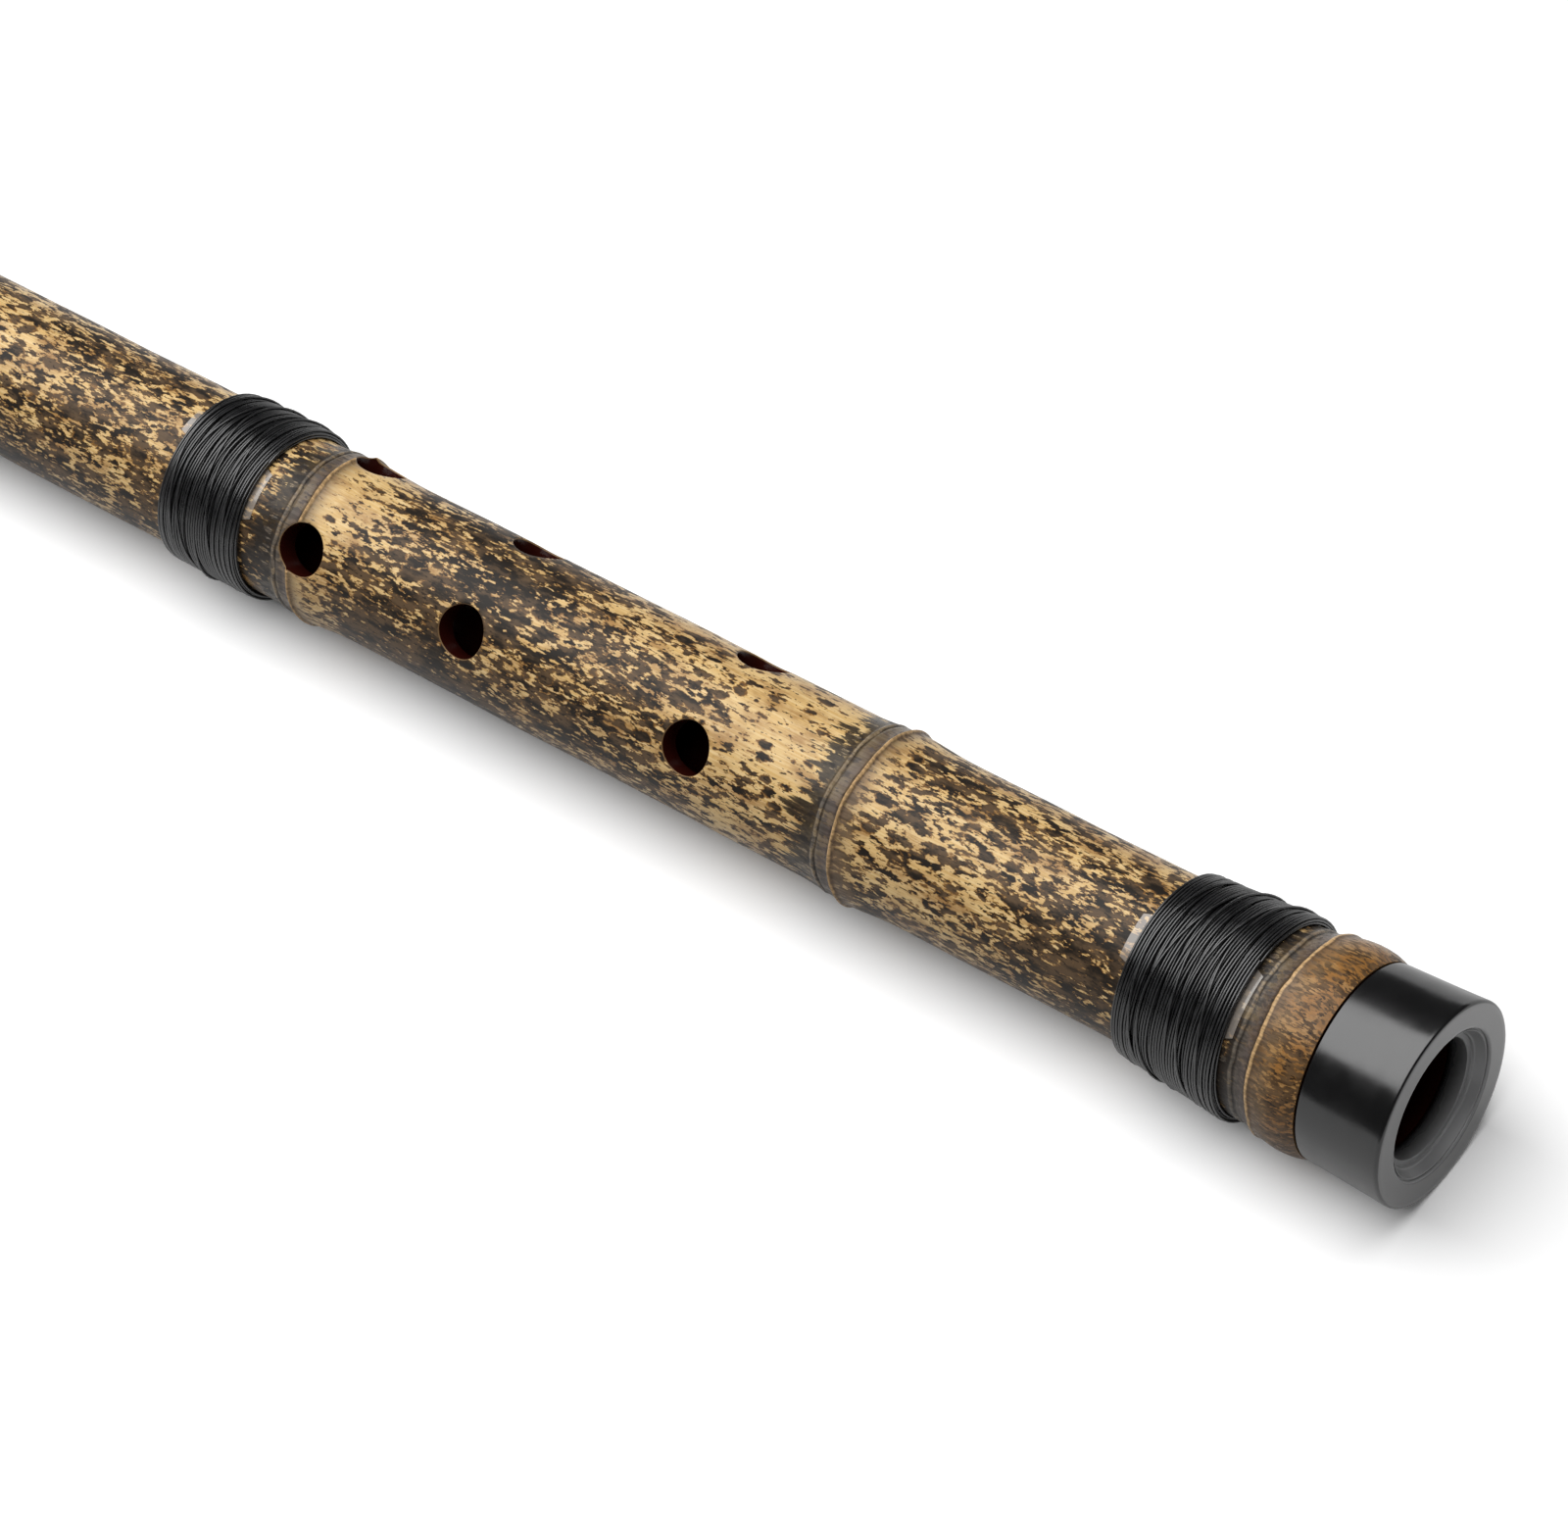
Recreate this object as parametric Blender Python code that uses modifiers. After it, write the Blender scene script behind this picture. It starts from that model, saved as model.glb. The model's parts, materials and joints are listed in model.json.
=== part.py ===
"""An end-blown bamboo flute, with a horn cap at each end and five thread bindings.

The flute lies on its front along X, blowing end at -X and foot at +X, on the plane Z = 0.
Every length is in metres. A station is a distance along the flute from its blowing end.
"""
import math

import bpy
import numpy as np
from mathutils import Vector

# Tuning: each hole ends the air column of its note
AIR_COLUMN = 0.584            # half the wavelength of the lowest note
END_CORRECTION = 0.026        # how much longer the air column is than its piece of tube
FINGER_STEPS = (2, 3, 4, 5, 7, 9, 10)   # semitones above the lowest note, front holes
THUMB_STEP = 11               # semitones above the lowest note, back hole

# Bamboo tube
TUBE_DIAMETER = 0.025
TUBE_HEAD_DIAMETER = 0.0246
BORE_DIAMETER = 0.018
INTERNODE = 0.1065            # ridge to ridge, above the vent holes
FOOT_INTERNODE = 0.072        # ridge to ridge, next to the foot
FOOT_NODE_TO_CAP = 0.008
HEAD_SHOULDER_DIAMETER = 0.0254

# Root flare of the tube at the foot: the bulge, and how far the rest lies inside it
FOOT_BULGE_DIAMETER = 0.031
FLARE_INSET = 0.0014          # at the foot side of the last binding
FOOT_RIDGE_INSET = 0.0004
FOOT_SHOULDER_INSET = 0.00095

# One node of the bamboo
NODE_RISE = 0.00045           # swelling at the groove above the ridge
GROOVE_DEPTH = 0.0002
RIDGE_HEIGHT = 0.0009
RIDGE_WIDTH = 0.0009
GROOVE_TO_RIDGE = 0.003
NODE_RUN_IN = 0.008           # from the plain tube to the ridge, blowing side
NODE_RUN_OUT = 0.009          # from the ridge to the plain tube, foot side

# Holes
FINGER_HOLE_DIAMETER = 0.0082
THUMB_HOLE_DIAMETER = 0.0078
VENT_HOLE_DIAMETER = 0.008
VENT_PITCH_UPPER = 0.031      # first pair to second pair
VENT_PITCH_LOWER = 0.042      # second pair to third pair
VENT_TO_FOOT_NODES = 0.027    # third pair to the ridge below it
NODE_TO_FIRST_VENT = 0.0022   # the ridge runs under the side of the first pair
VENT_SPREAD = 47.5            # degrees from the back line to each row of vents

# Horn caps
FOOT_CAP_LENGTH = 0.0135
FOOT_CAP_NECK_STEP = 0.00005  # how far the cap's neck stands over the tube's shoulder
FOOT_CAP_FLARE = 0.00065      # how far the mouth stands over the neck
FOOT_COUNTERSINK_DIAMETER = 0.0225
FOOT_COUNTERSINK_DEPTH = 0.0016
FOOT_STEP_WIDTH = 0.0004
FOOT_LIP_LENGTH = 0.005
HEAD_CAP_LENGTH = 0.0135
HEAD_CAP_DIAMETER = 0.0278
HEAD_CAP_NECK_DIAMETER = 0.026
HEAD_DISC_THICKNESS = 0.003
HEAD_TENON_LENGTH = 0.004
CAP_EDGE = 0.0003             # bevel round the outer edge of a cap
TENON_WALL = 0.0025           # wall of the tube where it enters a cap

# Blowing notch
NOTCH_WIDTH = 0.0092          # at the bore
NOTCH_DEPTH = 0.007
NOTCH_BEVEL = 0.0022          # how much wider the notch is at the outside, each side
NOTCH_REACH = 0.003           # how far the notch opens the disc inside the bore's wall

# Thread bindings
BINDING_WIDTH = 0.016
FOOT_BINDING_WIDTH = 0.018
BINDING_TO_NODE = 0.0093
FOOT_BINDING_TO_NODE = 0.0048
HEAD_BINDING_FROM_NODE = 0.0095
FILM_THICKNESS = 0.0001
FILM_OVERHANG = 0.0015        # film that shows beside the thread
INNER_TURNS_THICKNESS = 0.0003
INNER_TURNS_EDGE = 0.00015    # rounding at the sides of the inner turns
THREAD_DIAMETER = 0.0004
THREAD_MARGIN = 0.0006        # from the side of the inner turns to the first outer turn
OUTER_TURNS = 6

# Fits and fineness
SEAT_GAP = 0.0003             # between a cap and the tube
WRAP_GAP = 0.0001             # between one layer of a binding and the next
SIDES = 24                    # facets round a turned piece, and points in one turn of thread
HOLE_SIDES = 20
NOTCH_SIDES = 24
MERGE_DISTANCE = 0.00001
SMOOTH_ANGLE = 35.0

# Places that follow from the sizes above
FIRST_VENT = AIR_COLUMN - END_CORRECTION
VENTS = (FIRST_VENT, FIRST_VENT + VENT_PITCH_UPPER, FIRST_VENT + VENT_PITCH_UPPER + VENT_PITCH_LOWER)
LOWER_NODE = VENTS[-1] + VENT_TO_FOOT_NODES
FOOT_NODE = LOWER_NODE + FOOT_INTERNODE
FOOT_SHOULDER = FOOT_NODE + FOOT_NODE_TO_CAP
LENGTH = FOOT_SHOULDER + FOOT_CAP_LENGTH
TENON_RADIUS = BORE_DIAMETER / 2 + TENON_WALL
FLARE_RADIUS = FOOT_BULGE_DIAMETER / 2 - FLARE_INSET
FOOT_RIDGE_RADIUS = FOOT_BULGE_DIAMETER / 2 - FOOT_RIDGE_INSET
FOOT_SHOULDER_RADIUS = FOOT_BULGE_DIAMETER / 2 - FOOT_SHOULDER_INSET
FOOT_CAP_NECK_RADIUS = FOOT_SHOULDER_RADIUS + FOOT_CAP_NECK_STEP
FOOT_CAP_RADIUS = FOOT_CAP_NECK_RADIUS + FOOT_CAP_FLARE
HALF_FACET = math.pi / SIDES
LARGEST_RADIUS = max(FOOT_BULGE_DIAMETER / 2, FOOT_CAP_RADIUS, HEAD_CAP_DIAMETER / 2)
INNER_TURNS_RISE = WRAP_GAP * 2 + FILM_THICKNESS
THREAD_RISE = INNER_TURNS_RISE + INNER_TURNS_THICKNESS + WRAP_GAP + THREAD_DIAMETER / 2
WIDEST_BINDING = FLARE_RADIUS + THREAD_RISE + THREAD_DIAMETER / 2
AXIS_HEIGHT = max(LARGEST_RADIUS * math.cos(HALF_FACET), WIDEST_BINDING)


def hole_station(steps):
    """Station of the hole that sounds this many semitones above the lowest note."""
    return AIR_COLUMN / 2 ** (steps / 12) - END_CORRECTION


def node_stations():
    """Ridge stations of the nodes, from the foot to the blowing end."""
    stations = [FOOT_NODE, LOWER_NODE]
    station = FIRST_VENT - NODE_TO_FIRST_VENT
    while station > HEAD_CAP_LENGTH + GROOVE_TO_RIDGE + RIDGE_WIDTH:
        stations.append(station)
        station -= INTERNODE
    return stations


def binding_spans():
    """Start and end station of each binding, by name."""
    nodes = node_stations()
    thumb = hole_station(THUMB_STEP)
    between_hands = (hole_station(FINGER_STEPS[3]) + hole_station(FINGER_STEPS[4])) / 2
    above_thumb = max(station for station in nodes if station < thumb - NODE_RUN_OUT)
    foot_end = FOOT_NODE - FOOT_BINDING_TO_NODE
    vent_end = nodes[2] - BINDING_TO_NODE
    thumb_end = above_thumb - BINDING_TO_NODE
    head_start = nodes[-1] + HEAD_BINDING_FROM_NODE
    return {
        "foot": (foot_end - FOOT_BINDING_WIDTH, foot_end),
        "vent": (vent_end - BINDING_WIDTH, vent_end),
        "middle": (between_hands - BINDING_WIDTH / 2, between_hands + BINDING_WIDTH / 2),
        "upper": (thumb_end - BINDING_WIDTH, thumb_end),
        "head": (head_start, head_start + BINDING_WIDTH),
    }


def film_span(span):
    """Start and end station of the film under a binding."""
    return span[0] - FILM_OVERHANG, span[1] + FILM_OVERHANG


def plain_radius(station):
    """Radius of the tube without its nodes: a slight taper, then the flare of the root."""
    flare_start, flare_end = film_span(binding_spans()["foot"])
    stations = (HEAD_CAP_LENGTH, flare_start, flare_end, FOOT_NODE, FOOT_SHOULDER)
    head_radius = TUBE_HEAD_DIAMETER / 2
    radii = (head_radius, TUBE_DIAMETER / 2, FLARE_RADIUS, FOOT_RIDGE_RADIUS, FOOT_SHOULDER_RADIUS)
    return float(np.interp(station, stations, radii))


def node_outline(ridge):
    """Outline of one node as (station, radius) points: run in, groove, ridge, run out."""
    groove = ridge - GROOVE_TO_RIDGE
    form = (
        (ridge - NODE_RUN_IN, 0.0),
        (groove, NODE_RISE),
        (groove + RIDGE_WIDTH / 2, NODE_RISE - GROOVE_DEPTH),
        (ridge - RIDGE_WIDTH / 2, NODE_RISE - GROOVE_DEPTH / 2),
        (ridge, RIDGE_HEIGHT),
        (ridge + RIDGE_WIDTH / 2, NODE_RISE + GROOVE_DEPTH / 2),
        (ridge + NODE_RUN_OUT, 0.0),
    )
    return [(station, plain_radius(station) + rise) for station, rise in form]


def foot_node_outline():
    """Outline of the last node, from the film's side to the cap's shoulder."""
    groove = FOOT_NODE - GROOVE_TO_RIDGE
    bulge = FOOT_NODE + FOOT_NODE_TO_CAP * 0.45
    late_bulge = FOOT_NODE + FOOT_NODE_TO_CAP * 0.75
    late_radius = FOOT_BULGE_DIAMETER / 2 * 0.7 + FOOT_SHOULDER_RADIUS * 0.3
    return [
        (groove, plain_radius(groove) + GROOVE_DEPTH),
        (groove + RIDGE_WIDTH / 2, plain_radius(groove)),
        (FOOT_NODE - RIDGE_WIDTH / 2, FOOT_RIDGE_RADIUS - GROOVE_DEPTH * 2),
        (FOOT_NODE, FOOT_RIDGE_RADIUS),
        (FOOT_NODE + RIDGE_WIDTH / 2, FOOT_RIDGE_RADIUS - GROOVE_DEPTH),
        (bulge, FOOT_BULGE_DIAMETER / 2),
        (late_bulge, late_radius),
        (FOOT_SHOULDER - SEAT_GAP, FOOT_SHOULDER_RADIUS),
    ]


def tube_outline():
    """Outside of the tube between its shoulders, with a straight seat under each film."""
    seats = [film_span(span) for span in binding_spans().values()]
    points = [(HEAD_CAP_LENGTH + SEAT_GAP, HEAD_SHOULDER_DIAMETER / 2)]
    for ridge in node_stations()[1:]:
        points += node_outline(ridge)
    first = HEAD_CAP_LENGTH + SEAT_GAP * 2
    outside = [point for point in points if not any(low <= point[0] <= high for low, high in seats)]
    outside = [point for point in outside if first < point[0] or point is points[0]]
    for seat in seats:
        outside += [(station, plain_radius(station)) for station in seat]
    outside += foot_node_outline()
    return sorted(outside)


def make_material(name, colour, roughness, metallic=0.0):
    """A plain Principled material."""
    material = bpy.data.materials.new(name)
    material.use_nodes = True
    shader = material.node_tree.nodes["Principled BSDF"]
    shader.inputs["Base Color"].default_value = (*colour, 1.0)
    shader.inputs["Roughness"].default_value = roughness
    shader.inputs["Metallic"].default_value = metallic
    material.diffuse_color = (*colour, 1.0)
    return material


def clear_scene():
    """Remove the objects that the file came with."""
    for thing in list(bpy.data.objects):
        bpy.data.objects.remove(thing)


def new_collection(name):
    """A collection of that name in the scene."""
    collection = bpy.data.collections.new(name)
    bpy.context.scene.collection.children.link(collection)
    return collection


def make_axis(parts):
    """An empty whose Z runs along the flute and whose X points to the flute's front, downwards."""
    axis = bpy.data.objects.new("flute_axis", None)
    axis.location = (-LENGTH / 2, 0.0, AXIS_HEIGHT)
    axis.rotation_euler = (0.0, math.pi / 2, 0.0)
    axis.empty_display_size = TUBE_DIAMETER
    parts.objects.link(axis)
    return axis


def turned(name, outline, parts, axis):
    """Turn an outline of (station, radius) points, outer side first, about the flute's axis."""
    mesh = bpy.data.meshes.new(name)
    cos_facet = math.cos(HALF_FACET)
    sin_facet = math.sin(HALF_FACET)
    points = [(radius * cos_facet, radius * sin_facet, station) for station, radius in outline]
    edges = [(index, (index + 1) % len(points)) for index in range(len(points))]
    mesh.from_pydata(points, edges, [])
    piece = bpy.data.objects.new(name, mesh)
    parts.objects.link(piece)
    piece.parent = axis
    screw = piece.modifiers.new("Turn", "SCREW")
    screw.steps = SIDES
    screw.render_steps = SIDES
    screw.use_merge_vertices = True
    screw.merge_threshold = MERGE_DISTANCE
    return piece


def bored_outline(outside, inside):
    """Close an outer and an inner side, each in rising station, into one outline."""
    return list(reversed(outside)) + list(inside)


def as_cutter(cutter, cutters, axis):
    """Keep a cutting tool out of the parts and out of sight."""
    for collection in list(cutter.users_collection):
        collection.objects.unlink(cutter)
    cutters.objects.link(cutter)
    cutter.parent = axis
    cutter.hide_render = True
    cutter.display_type = "WIRE"


def hole_cutter(name, station, degrees, diameter, cutters, axis):
    """A round tool across one wall, turned this far about the axis from the flute's front."""
    reach = LARGEST_RADIUS * 2
    turn = math.radians(degrees)
    middle = reach / 2
    bpy.ops.mesh.primitive_cylinder_add(
        vertices=HOLE_SIDES,
        radius=diameter / 2,
        depth=reach,
        location=(middle * math.cos(turn), middle * math.sin(turn), station),
        rotation=(0.0, math.pi / 2, turn),
    )
    cutter = bpy.context.object
    cutter.name = name
    as_cutter(cutter, cutters, axis)


def notch_cutter(cutters, axis):
    """A tapered tool with a round end, open towards the blowing end, for the notch."""
    bore = BORE_DIAMETER / 2
    outside = HEAD_CAP_DIAMETER / 2
    inner = bore - NOTCH_REACH
    outer = outside + NOTCH_REACH
    slope = NOTCH_BEVEL / (outside - bore)
    half_width = NOTCH_WIDTH / 2
    centre = NOTCH_DEPTH - half_width
    bpy.ops.mesh.primitive_cone_add(
        vertices=NOTCH_SIDES,
        radius1=half_width - slope * NOTCH_REACH,
        radius2=half_width + slope * (outer - bore),
        depth=outer - inner,
        location=((inner + outer) / 2, 0.0, centre),
        rotation=(0.0, math.pi / 2, 0.0),
    )
    cutter = bpy.context.object
    cutter.name = "notch_tool"
    bpy.ops.object.transform_apply(location=True, rotation=True, scale=True)
    for vertex in cutter.data.vertices:
        if vertex.co.z < centre - MERGE_DISTANCE:
            vertex.co.z -= NOTCH_DEPTH + CAP_EDGE
    as_cutter(cutter, cutters, axis)


def cut(piece, cutters):
    """Cut a piece with every tool of a collection."""
    boolean = piece.modifiers.new("Cut", "BOOLEAN")
    boolean.operation = "DIFFERENCE"
    boolean.operand_type = "COLLECTION"
    boolean.collection = cutters
    boolean.solver = "EXACT"


def settle(piece, material):
    """Apply a piece's modifiers, shade its round faces smooth and give it its material."""
    bpy.context.view_layer.update()
    evaluated = piece.evaluated_get(bpy.context.evaluated_depsgraph_get())
    mesh = bpy.data.meshes.new_from_object(evaluated)
    mesh.name = piece.name
    piece.modifiers.clear()
    piece.data = mesh
    mesh.shade_smooth()
    mesh.set_sharp_from_angle(angle=math.radians(SMOOTH_ANGLE))
    mesh.materials.clear()
    mesh.materials.append(material)


def make_tube(parts, axis, material):
    """The bamboo: nodes, root flare, bore, a tenon at each end and all the holes."""
    bore = BORE_DIAMETER / 2
    head_tenon = HEAD_CAP_LENGTH - HEAD_TENON_LENGTH + SEAT_GAP
    foot_tenon = LENGTH - FOOT_LIP_LENGTH - SEAT_GAP
    head_shoulder = HEAD_CAP_LENGTH + SEAT_GAP
    foot_shoulder = FOOT_SHOULDER - SEAT_GAP
    outside = [(head_tenon, TENON_RADIUS), (head_shoulder, TENON_RADIUS)]
    outside += tube_outline()
    outside += [(foot_shoulder, TENON_RADIUS), (foot_tenon, TENON_RADIUS)]
    inside = [(head_tenon, bore), (foot_tenon, bore)]
    tube = turned("bamboo_tube", bored_outline(outside, inside), parts, axis)
    cutters = new_collection("hole_tools")
    for number, steps in enumerate(FINGER_STEPS, start=1):
        station = hole_station(steps)
        hole_cutter(f"finger_hole_tool_{number}", station, 0.0, FINGER_HOLE_DIAMETER, cutters, axis)
    thumb = hole_station(THUMB_STEP)
    hole_cutter("thumb_hole_tool", thumb, 180.0, THUMB_HOLE_DIAMETER, cutters, axis)
    for number, station in enumerate(VENTS, start=1):
        for side in (-1, 1):
            degrees = 180.0 + side * VENT_SPREAD
            name = f"vent_hole_tool_{number}_{'left' if side < 0 else 'right'}"
            hole_cutter(name, station, degrees, VENT_HOLE_DIAMETER, cutters, axis)
    cut(tube, cutters)
    settle(tube, material)


def make_foot_cap(parts, axis, material):
    """The horn ring on the foot: slight flare, countersunk mouth, socket for the tenon."""
    mouth = FOOT_COUNTERSINK_DIAMETER / 2
    socket = TENON_RADIUS + SEAT_GAP
    bore = BORE_DIAMETER / 2
    step_station = LENGTH - FOOT_COUNTERSINK_DEPTH
    step_radius = (mouth + bore) / 2
    lip_start = LENGTH - FOOT_LIP_LENGTH
    outside = [
        (FOOT_SHOULDER, FOOT_CAP_NECK_RADIUS),
        (LENGTH - CAP_EDGE, FOOT_CAP_RADIUS),
        (LENGTH, FOOT_CAP_RADIUS - CAP_EDGE),
    ]
    inside = [
        (FOOT_SHOULDER, socket),
        (lip_start, socket),
        (lip_start, bore),
        (step_station - FOOT_STEP_WIDTH, bore),
        (step_station - FOOT_STEP_WIDTH, step_radius - FOOT_STEP_WIDTH),
        (step_station, step_radius),
        (LENGTH, mouth),
    ]
    cap = turned("foot_cap", bored_outline(outside, inside), parts, axis)
    settle(cap, material)


def make_head_cap(parts, axis, material):
    """The horn cap on the blowing end: closed by a disc, with the notch through disc and wall."""
    outer = HEAD_CAP_DIAMETER / 2
    socket = TENON_RADIUS + SEAT_GAP
    bore = BORE_DIAMETER / 2
    socket_start = HEAD_CAP_LENGTH - HEAD_TENON_LENGTH
    outline = [
        (HEAD_CAP_LENGTH, HEAD_CAP_NECK_DIAMETER / 2),
        (CAP_EDGE, outer),
        (0.0, outer - CAP_EDGE),
        (0.0, 0.0),
        (HEAD_DISC_THICKNESS, 0.0),
        (HEAD_DISC_THICKNESS, bore),
        (socket_start, bore),
        (socket_start, socket),
        (HEAD_CAP_LENGTH, socket),
    ]
    cap = turned("head_cap", outline, parts, axis)
    cutters = new_collection("notch_tools")
    notch_cutter(cutters, axis)
    cut(cap, cutters)
    settle(cap, material)


def sleeve(name, span, inner_rise, thickness, edge, parts, axis, material):
    """A ring that follows the tube's surface between two stations, at a rise above it."""
    start, end = span
    low = [(station, plain_radius(station) + inner_rise) for station in span]
    high = [
        (start, plain_radius(start) + inner_rise + thickness - edge),
        (start + edge, plain_radius(start + edge) + inner_rise + thickness),
        (end - edge, plain_radius(end - edge) + inner_rise + thickness),
        (end, plain_radius(end) + inner_rise + thickness - edge),
    ]
    ring = turned(name, bored_outline(high, low), parts, axis)
    settle(ring, material)


def turn_points(span, rise):
    """Points of the outer turns: one unbroken helix, over the corners of the inner turns."""
    start = span[0] + THREAD_MARGIN
    end = span[1] - THREAD_MARGIN
    count = OUTER_TURNS * SIDES
    points = []
    for index in range(count + 1):
        station = start + (end - start) * index / count
        angle = 2 * math.pi * index / SIDES + HALF_FACET
        radius = plain_radius(station) + rise
        points.append(Vector((radius * math.cos(angle), radius * math.sin(angle), station)))
    first = points[0] + (points[0] - points[1]).normalized() * THREAD_DIAMETER
    last = points[-1] + (points[-1] - points[-2]).normalized() * THREAD_DIAMETER
    return [first] + points + [last]


def least_gap(points):
    """Least distance between thread points half a turn or more apart, less the thread."""
    places = np.array([tuple(point) for point in points])
    least = math.inf
    half_turn = SIDES // 2
    for index in range(len(places) - half_turn):
        others = places[index + half_turn:]
        distance = np.linalg.norm(others - places[index], axis=1).min()
        least = min(least, distance - THREAD_DIAMETER)
    return least


def make_outer_turns(name, span, rise, parts, axis, material):
    """The outer turns of a binding, as one tube of thread with flat ends."""
    points = turn_points(span, rise)
    curve = bpy.data.curves.new(name, "CURVE")
    curve.dimensions = "3D"
    curve.bevel_depth = THREAD_DIAMETER / 2
    curve.bevel_resolution = 1
    curve.use_fill_caps = True
    spline = curve.splines.new("POLY")
    spline.points.add(len(points) - 1)
    for place, point in zip(spline.points, points):
        place.co = (*point, 1.0)
    curve.materials.append(material)
    thread = bpy.data.objects.new(name, curve)
    parts.objects.link(thread)
    thread.parent = axis
    print(f"{name}: least gap between turns {least_gap(points) * 1000:.2f} mm")


def make_binding(place, span, parts, axis, materials):
    """One binding: a clear film on the bamboo, the inner turns of thread and the outer turns."""
    film = film_span(span)
    sleeve(f"{place}_binding_film", film, WRAP_GAP, FILM_THICKNESS, FILM_THICKNESS / 3,
           parts, axis, materials["film"])
    sleeve(f"{place}_binding_inner_turns", span, INNER_TURNS_RISE, INNER_TURNS_THICKNESS, INNER_TURNS_EDGE,
           parts, axis, materials["thread"])
    make_outer_turns(f"{place}_binding_outer_turns", span, THREAD_RISE, parts, axis, materials["thread"])


def make_materials():
    """The four finishes of the flute."""
    return {
        "bamboo": make_material("mottled_bamboo", (0.30, 0.19, 0.075), 0.28),
        "horn": make_material("black_horn", (0.012, 0.012, 0.013), 0.22),
        "thread": make_material("black_thread", (0.015, 0.015, 0.017), 0.45),
        "film": make_material("clear_film", (0.22, 0.17, 0.12), 0.12),
    }


def main():
    """Build the flute."""
    clear_scene()
    parts = new_collection("xiao")
    axis = make_axis(parts)
    materials = make_materials()
    make_tube(parts, axis, materials["bamboo"])
    make_foot_cap(parts, axis, materials["horn"])
    make_head_cap(parts, axis, materials["horn"])
    for place, span in binding_spans().items():
        make_binding(place, span, parts, axis, materials)


main()
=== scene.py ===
import json
import math

import bpy
import numpy as np
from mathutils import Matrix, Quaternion, Vector


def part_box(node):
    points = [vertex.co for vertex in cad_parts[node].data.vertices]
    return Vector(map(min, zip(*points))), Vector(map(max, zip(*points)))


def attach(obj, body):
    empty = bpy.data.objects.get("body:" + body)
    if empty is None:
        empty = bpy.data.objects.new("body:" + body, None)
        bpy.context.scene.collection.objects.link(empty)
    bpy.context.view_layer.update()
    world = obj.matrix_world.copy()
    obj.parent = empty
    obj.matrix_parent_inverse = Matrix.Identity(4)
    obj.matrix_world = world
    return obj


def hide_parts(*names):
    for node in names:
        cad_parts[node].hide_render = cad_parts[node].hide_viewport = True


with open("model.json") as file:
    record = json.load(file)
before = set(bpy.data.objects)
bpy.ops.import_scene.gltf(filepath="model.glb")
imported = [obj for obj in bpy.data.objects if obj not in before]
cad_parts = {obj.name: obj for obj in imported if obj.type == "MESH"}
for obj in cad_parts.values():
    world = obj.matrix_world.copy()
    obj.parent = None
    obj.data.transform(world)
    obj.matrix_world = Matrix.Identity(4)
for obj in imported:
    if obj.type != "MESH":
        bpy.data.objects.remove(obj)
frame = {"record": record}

bl_info = {
    "name": "Bamboo flute looks",
    "version": (1, 0, 0),
    "blender": (4, 5, 0),
    "location": "View3D > Sidebar > Flute",
    "description": "Smooth pieces, finishes and a plain studio for an end-blown bamboo flute",
    "category": "Object",
}

MM = 0.001
OPENINGS = {opening["name"]: opening["box_m"]
            for opening in frame["record"]["physics"]["openings"]}
FOOT_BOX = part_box("foot_cap")
HEAD_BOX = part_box("head_cap")
AXIS_HEIGHT = (FOOT_BOX[0].z + FOOT_BOX[1].z) / 2
HEAD_X = HEAD_BOX[0].x
PLACES = ("foot", "vent", "middle", "upper", "head")


def span_of(node):
    """Start and end station of a CAD node, measured from the blowing end."""
    low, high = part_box(node)
    return low.x - HEAD_X, high.x - HEAD_X


FLUTE_LENGTH = FOOT_BOX[1].x - HEAD_X
FOOT_CAP_SPAN = span_of("foot_cap")
HEAD_CAP_SPAN = span_of("head_cap")
# The head cap's socket and the tenon in it, measured from the cap's inner end, and the foot's,
# measured from the flute's end
HEAD_SOCKET, HEAD_TENON = 0.004, 0.0037
FOOT_SOCKET, FOOT_TENON = 0.005, 0.0053
GLUE_GAP = 0.0003
PLAIN_RADIUS = 0.0125
# No part of the stem or the thread lies further from the flute's axis
LARGEST_RADIUS = 0.01534


# Settings


def a_number(name, description, default, **fields):
    """A number to set, or several of them where a size is given."""
    kind = bpy.props.FloatVectorProperty if "size" in fields else bpy.props.FloatProperty
    return kind(name=name, description=description, default=default, **fields)


def a_length(name, description, default, **fields):
    """A setting in metres."""
    return a_number(name, description, default, unit="LENGTH", **fields)


def an_angle(name, description, degrees):
    """A setting that is an angle."""
    return a_number(name, description, math.radians(degrees), subtype="ANGLE")


def a_colour(name, description, *colour):
    """A setting that is a colour."""
    return a_number(name, description, (*colour, 1.0), size=4, subtype="COLOR")


class StemSizes(bpy.types.PropertyGroup):
    """Sizes of the bamboo stem that the frame doesn't hold."""

    nodes: a_length(
        "Node stations", "Ridge of each node, from the blowing end",
        (0.730, 0.658, 0.5558, 0.4493, 0.3428, 0.2363, 0.1298, 0.0233), size=8)
    tilts: a_length(
        "Ridge tilts", "How far each ridge leans along the flute",
        (0.00025, 0.0005, 0.00095, -0.0004, 0.0006, -0.0005, 0.0004, 0.0002), size=8)
    bore: a_length("Bore radius", "Radius of the air column", 0.009)
    tenon: a_length("Tenon radius", "Radius of the stem inside each cap", 0.0115)
    hole: a_length("Finger hole radius", "Radius of a finger hole", 0.0041)
    thumb: a_length("Thumb hole radius", "Radius of the thumb hole", 0.0039)
    vent: a_length("Vent radius", "Radius of a vent", 0.004)
    vent_turn: an_angle("Vent turn", "Angle of the vents from the back of the flute", 47.5)
    segments: bpy.props.IntProperty(
        name="Segments", description="Sides of the round forms", default=96, min=24)


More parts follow.
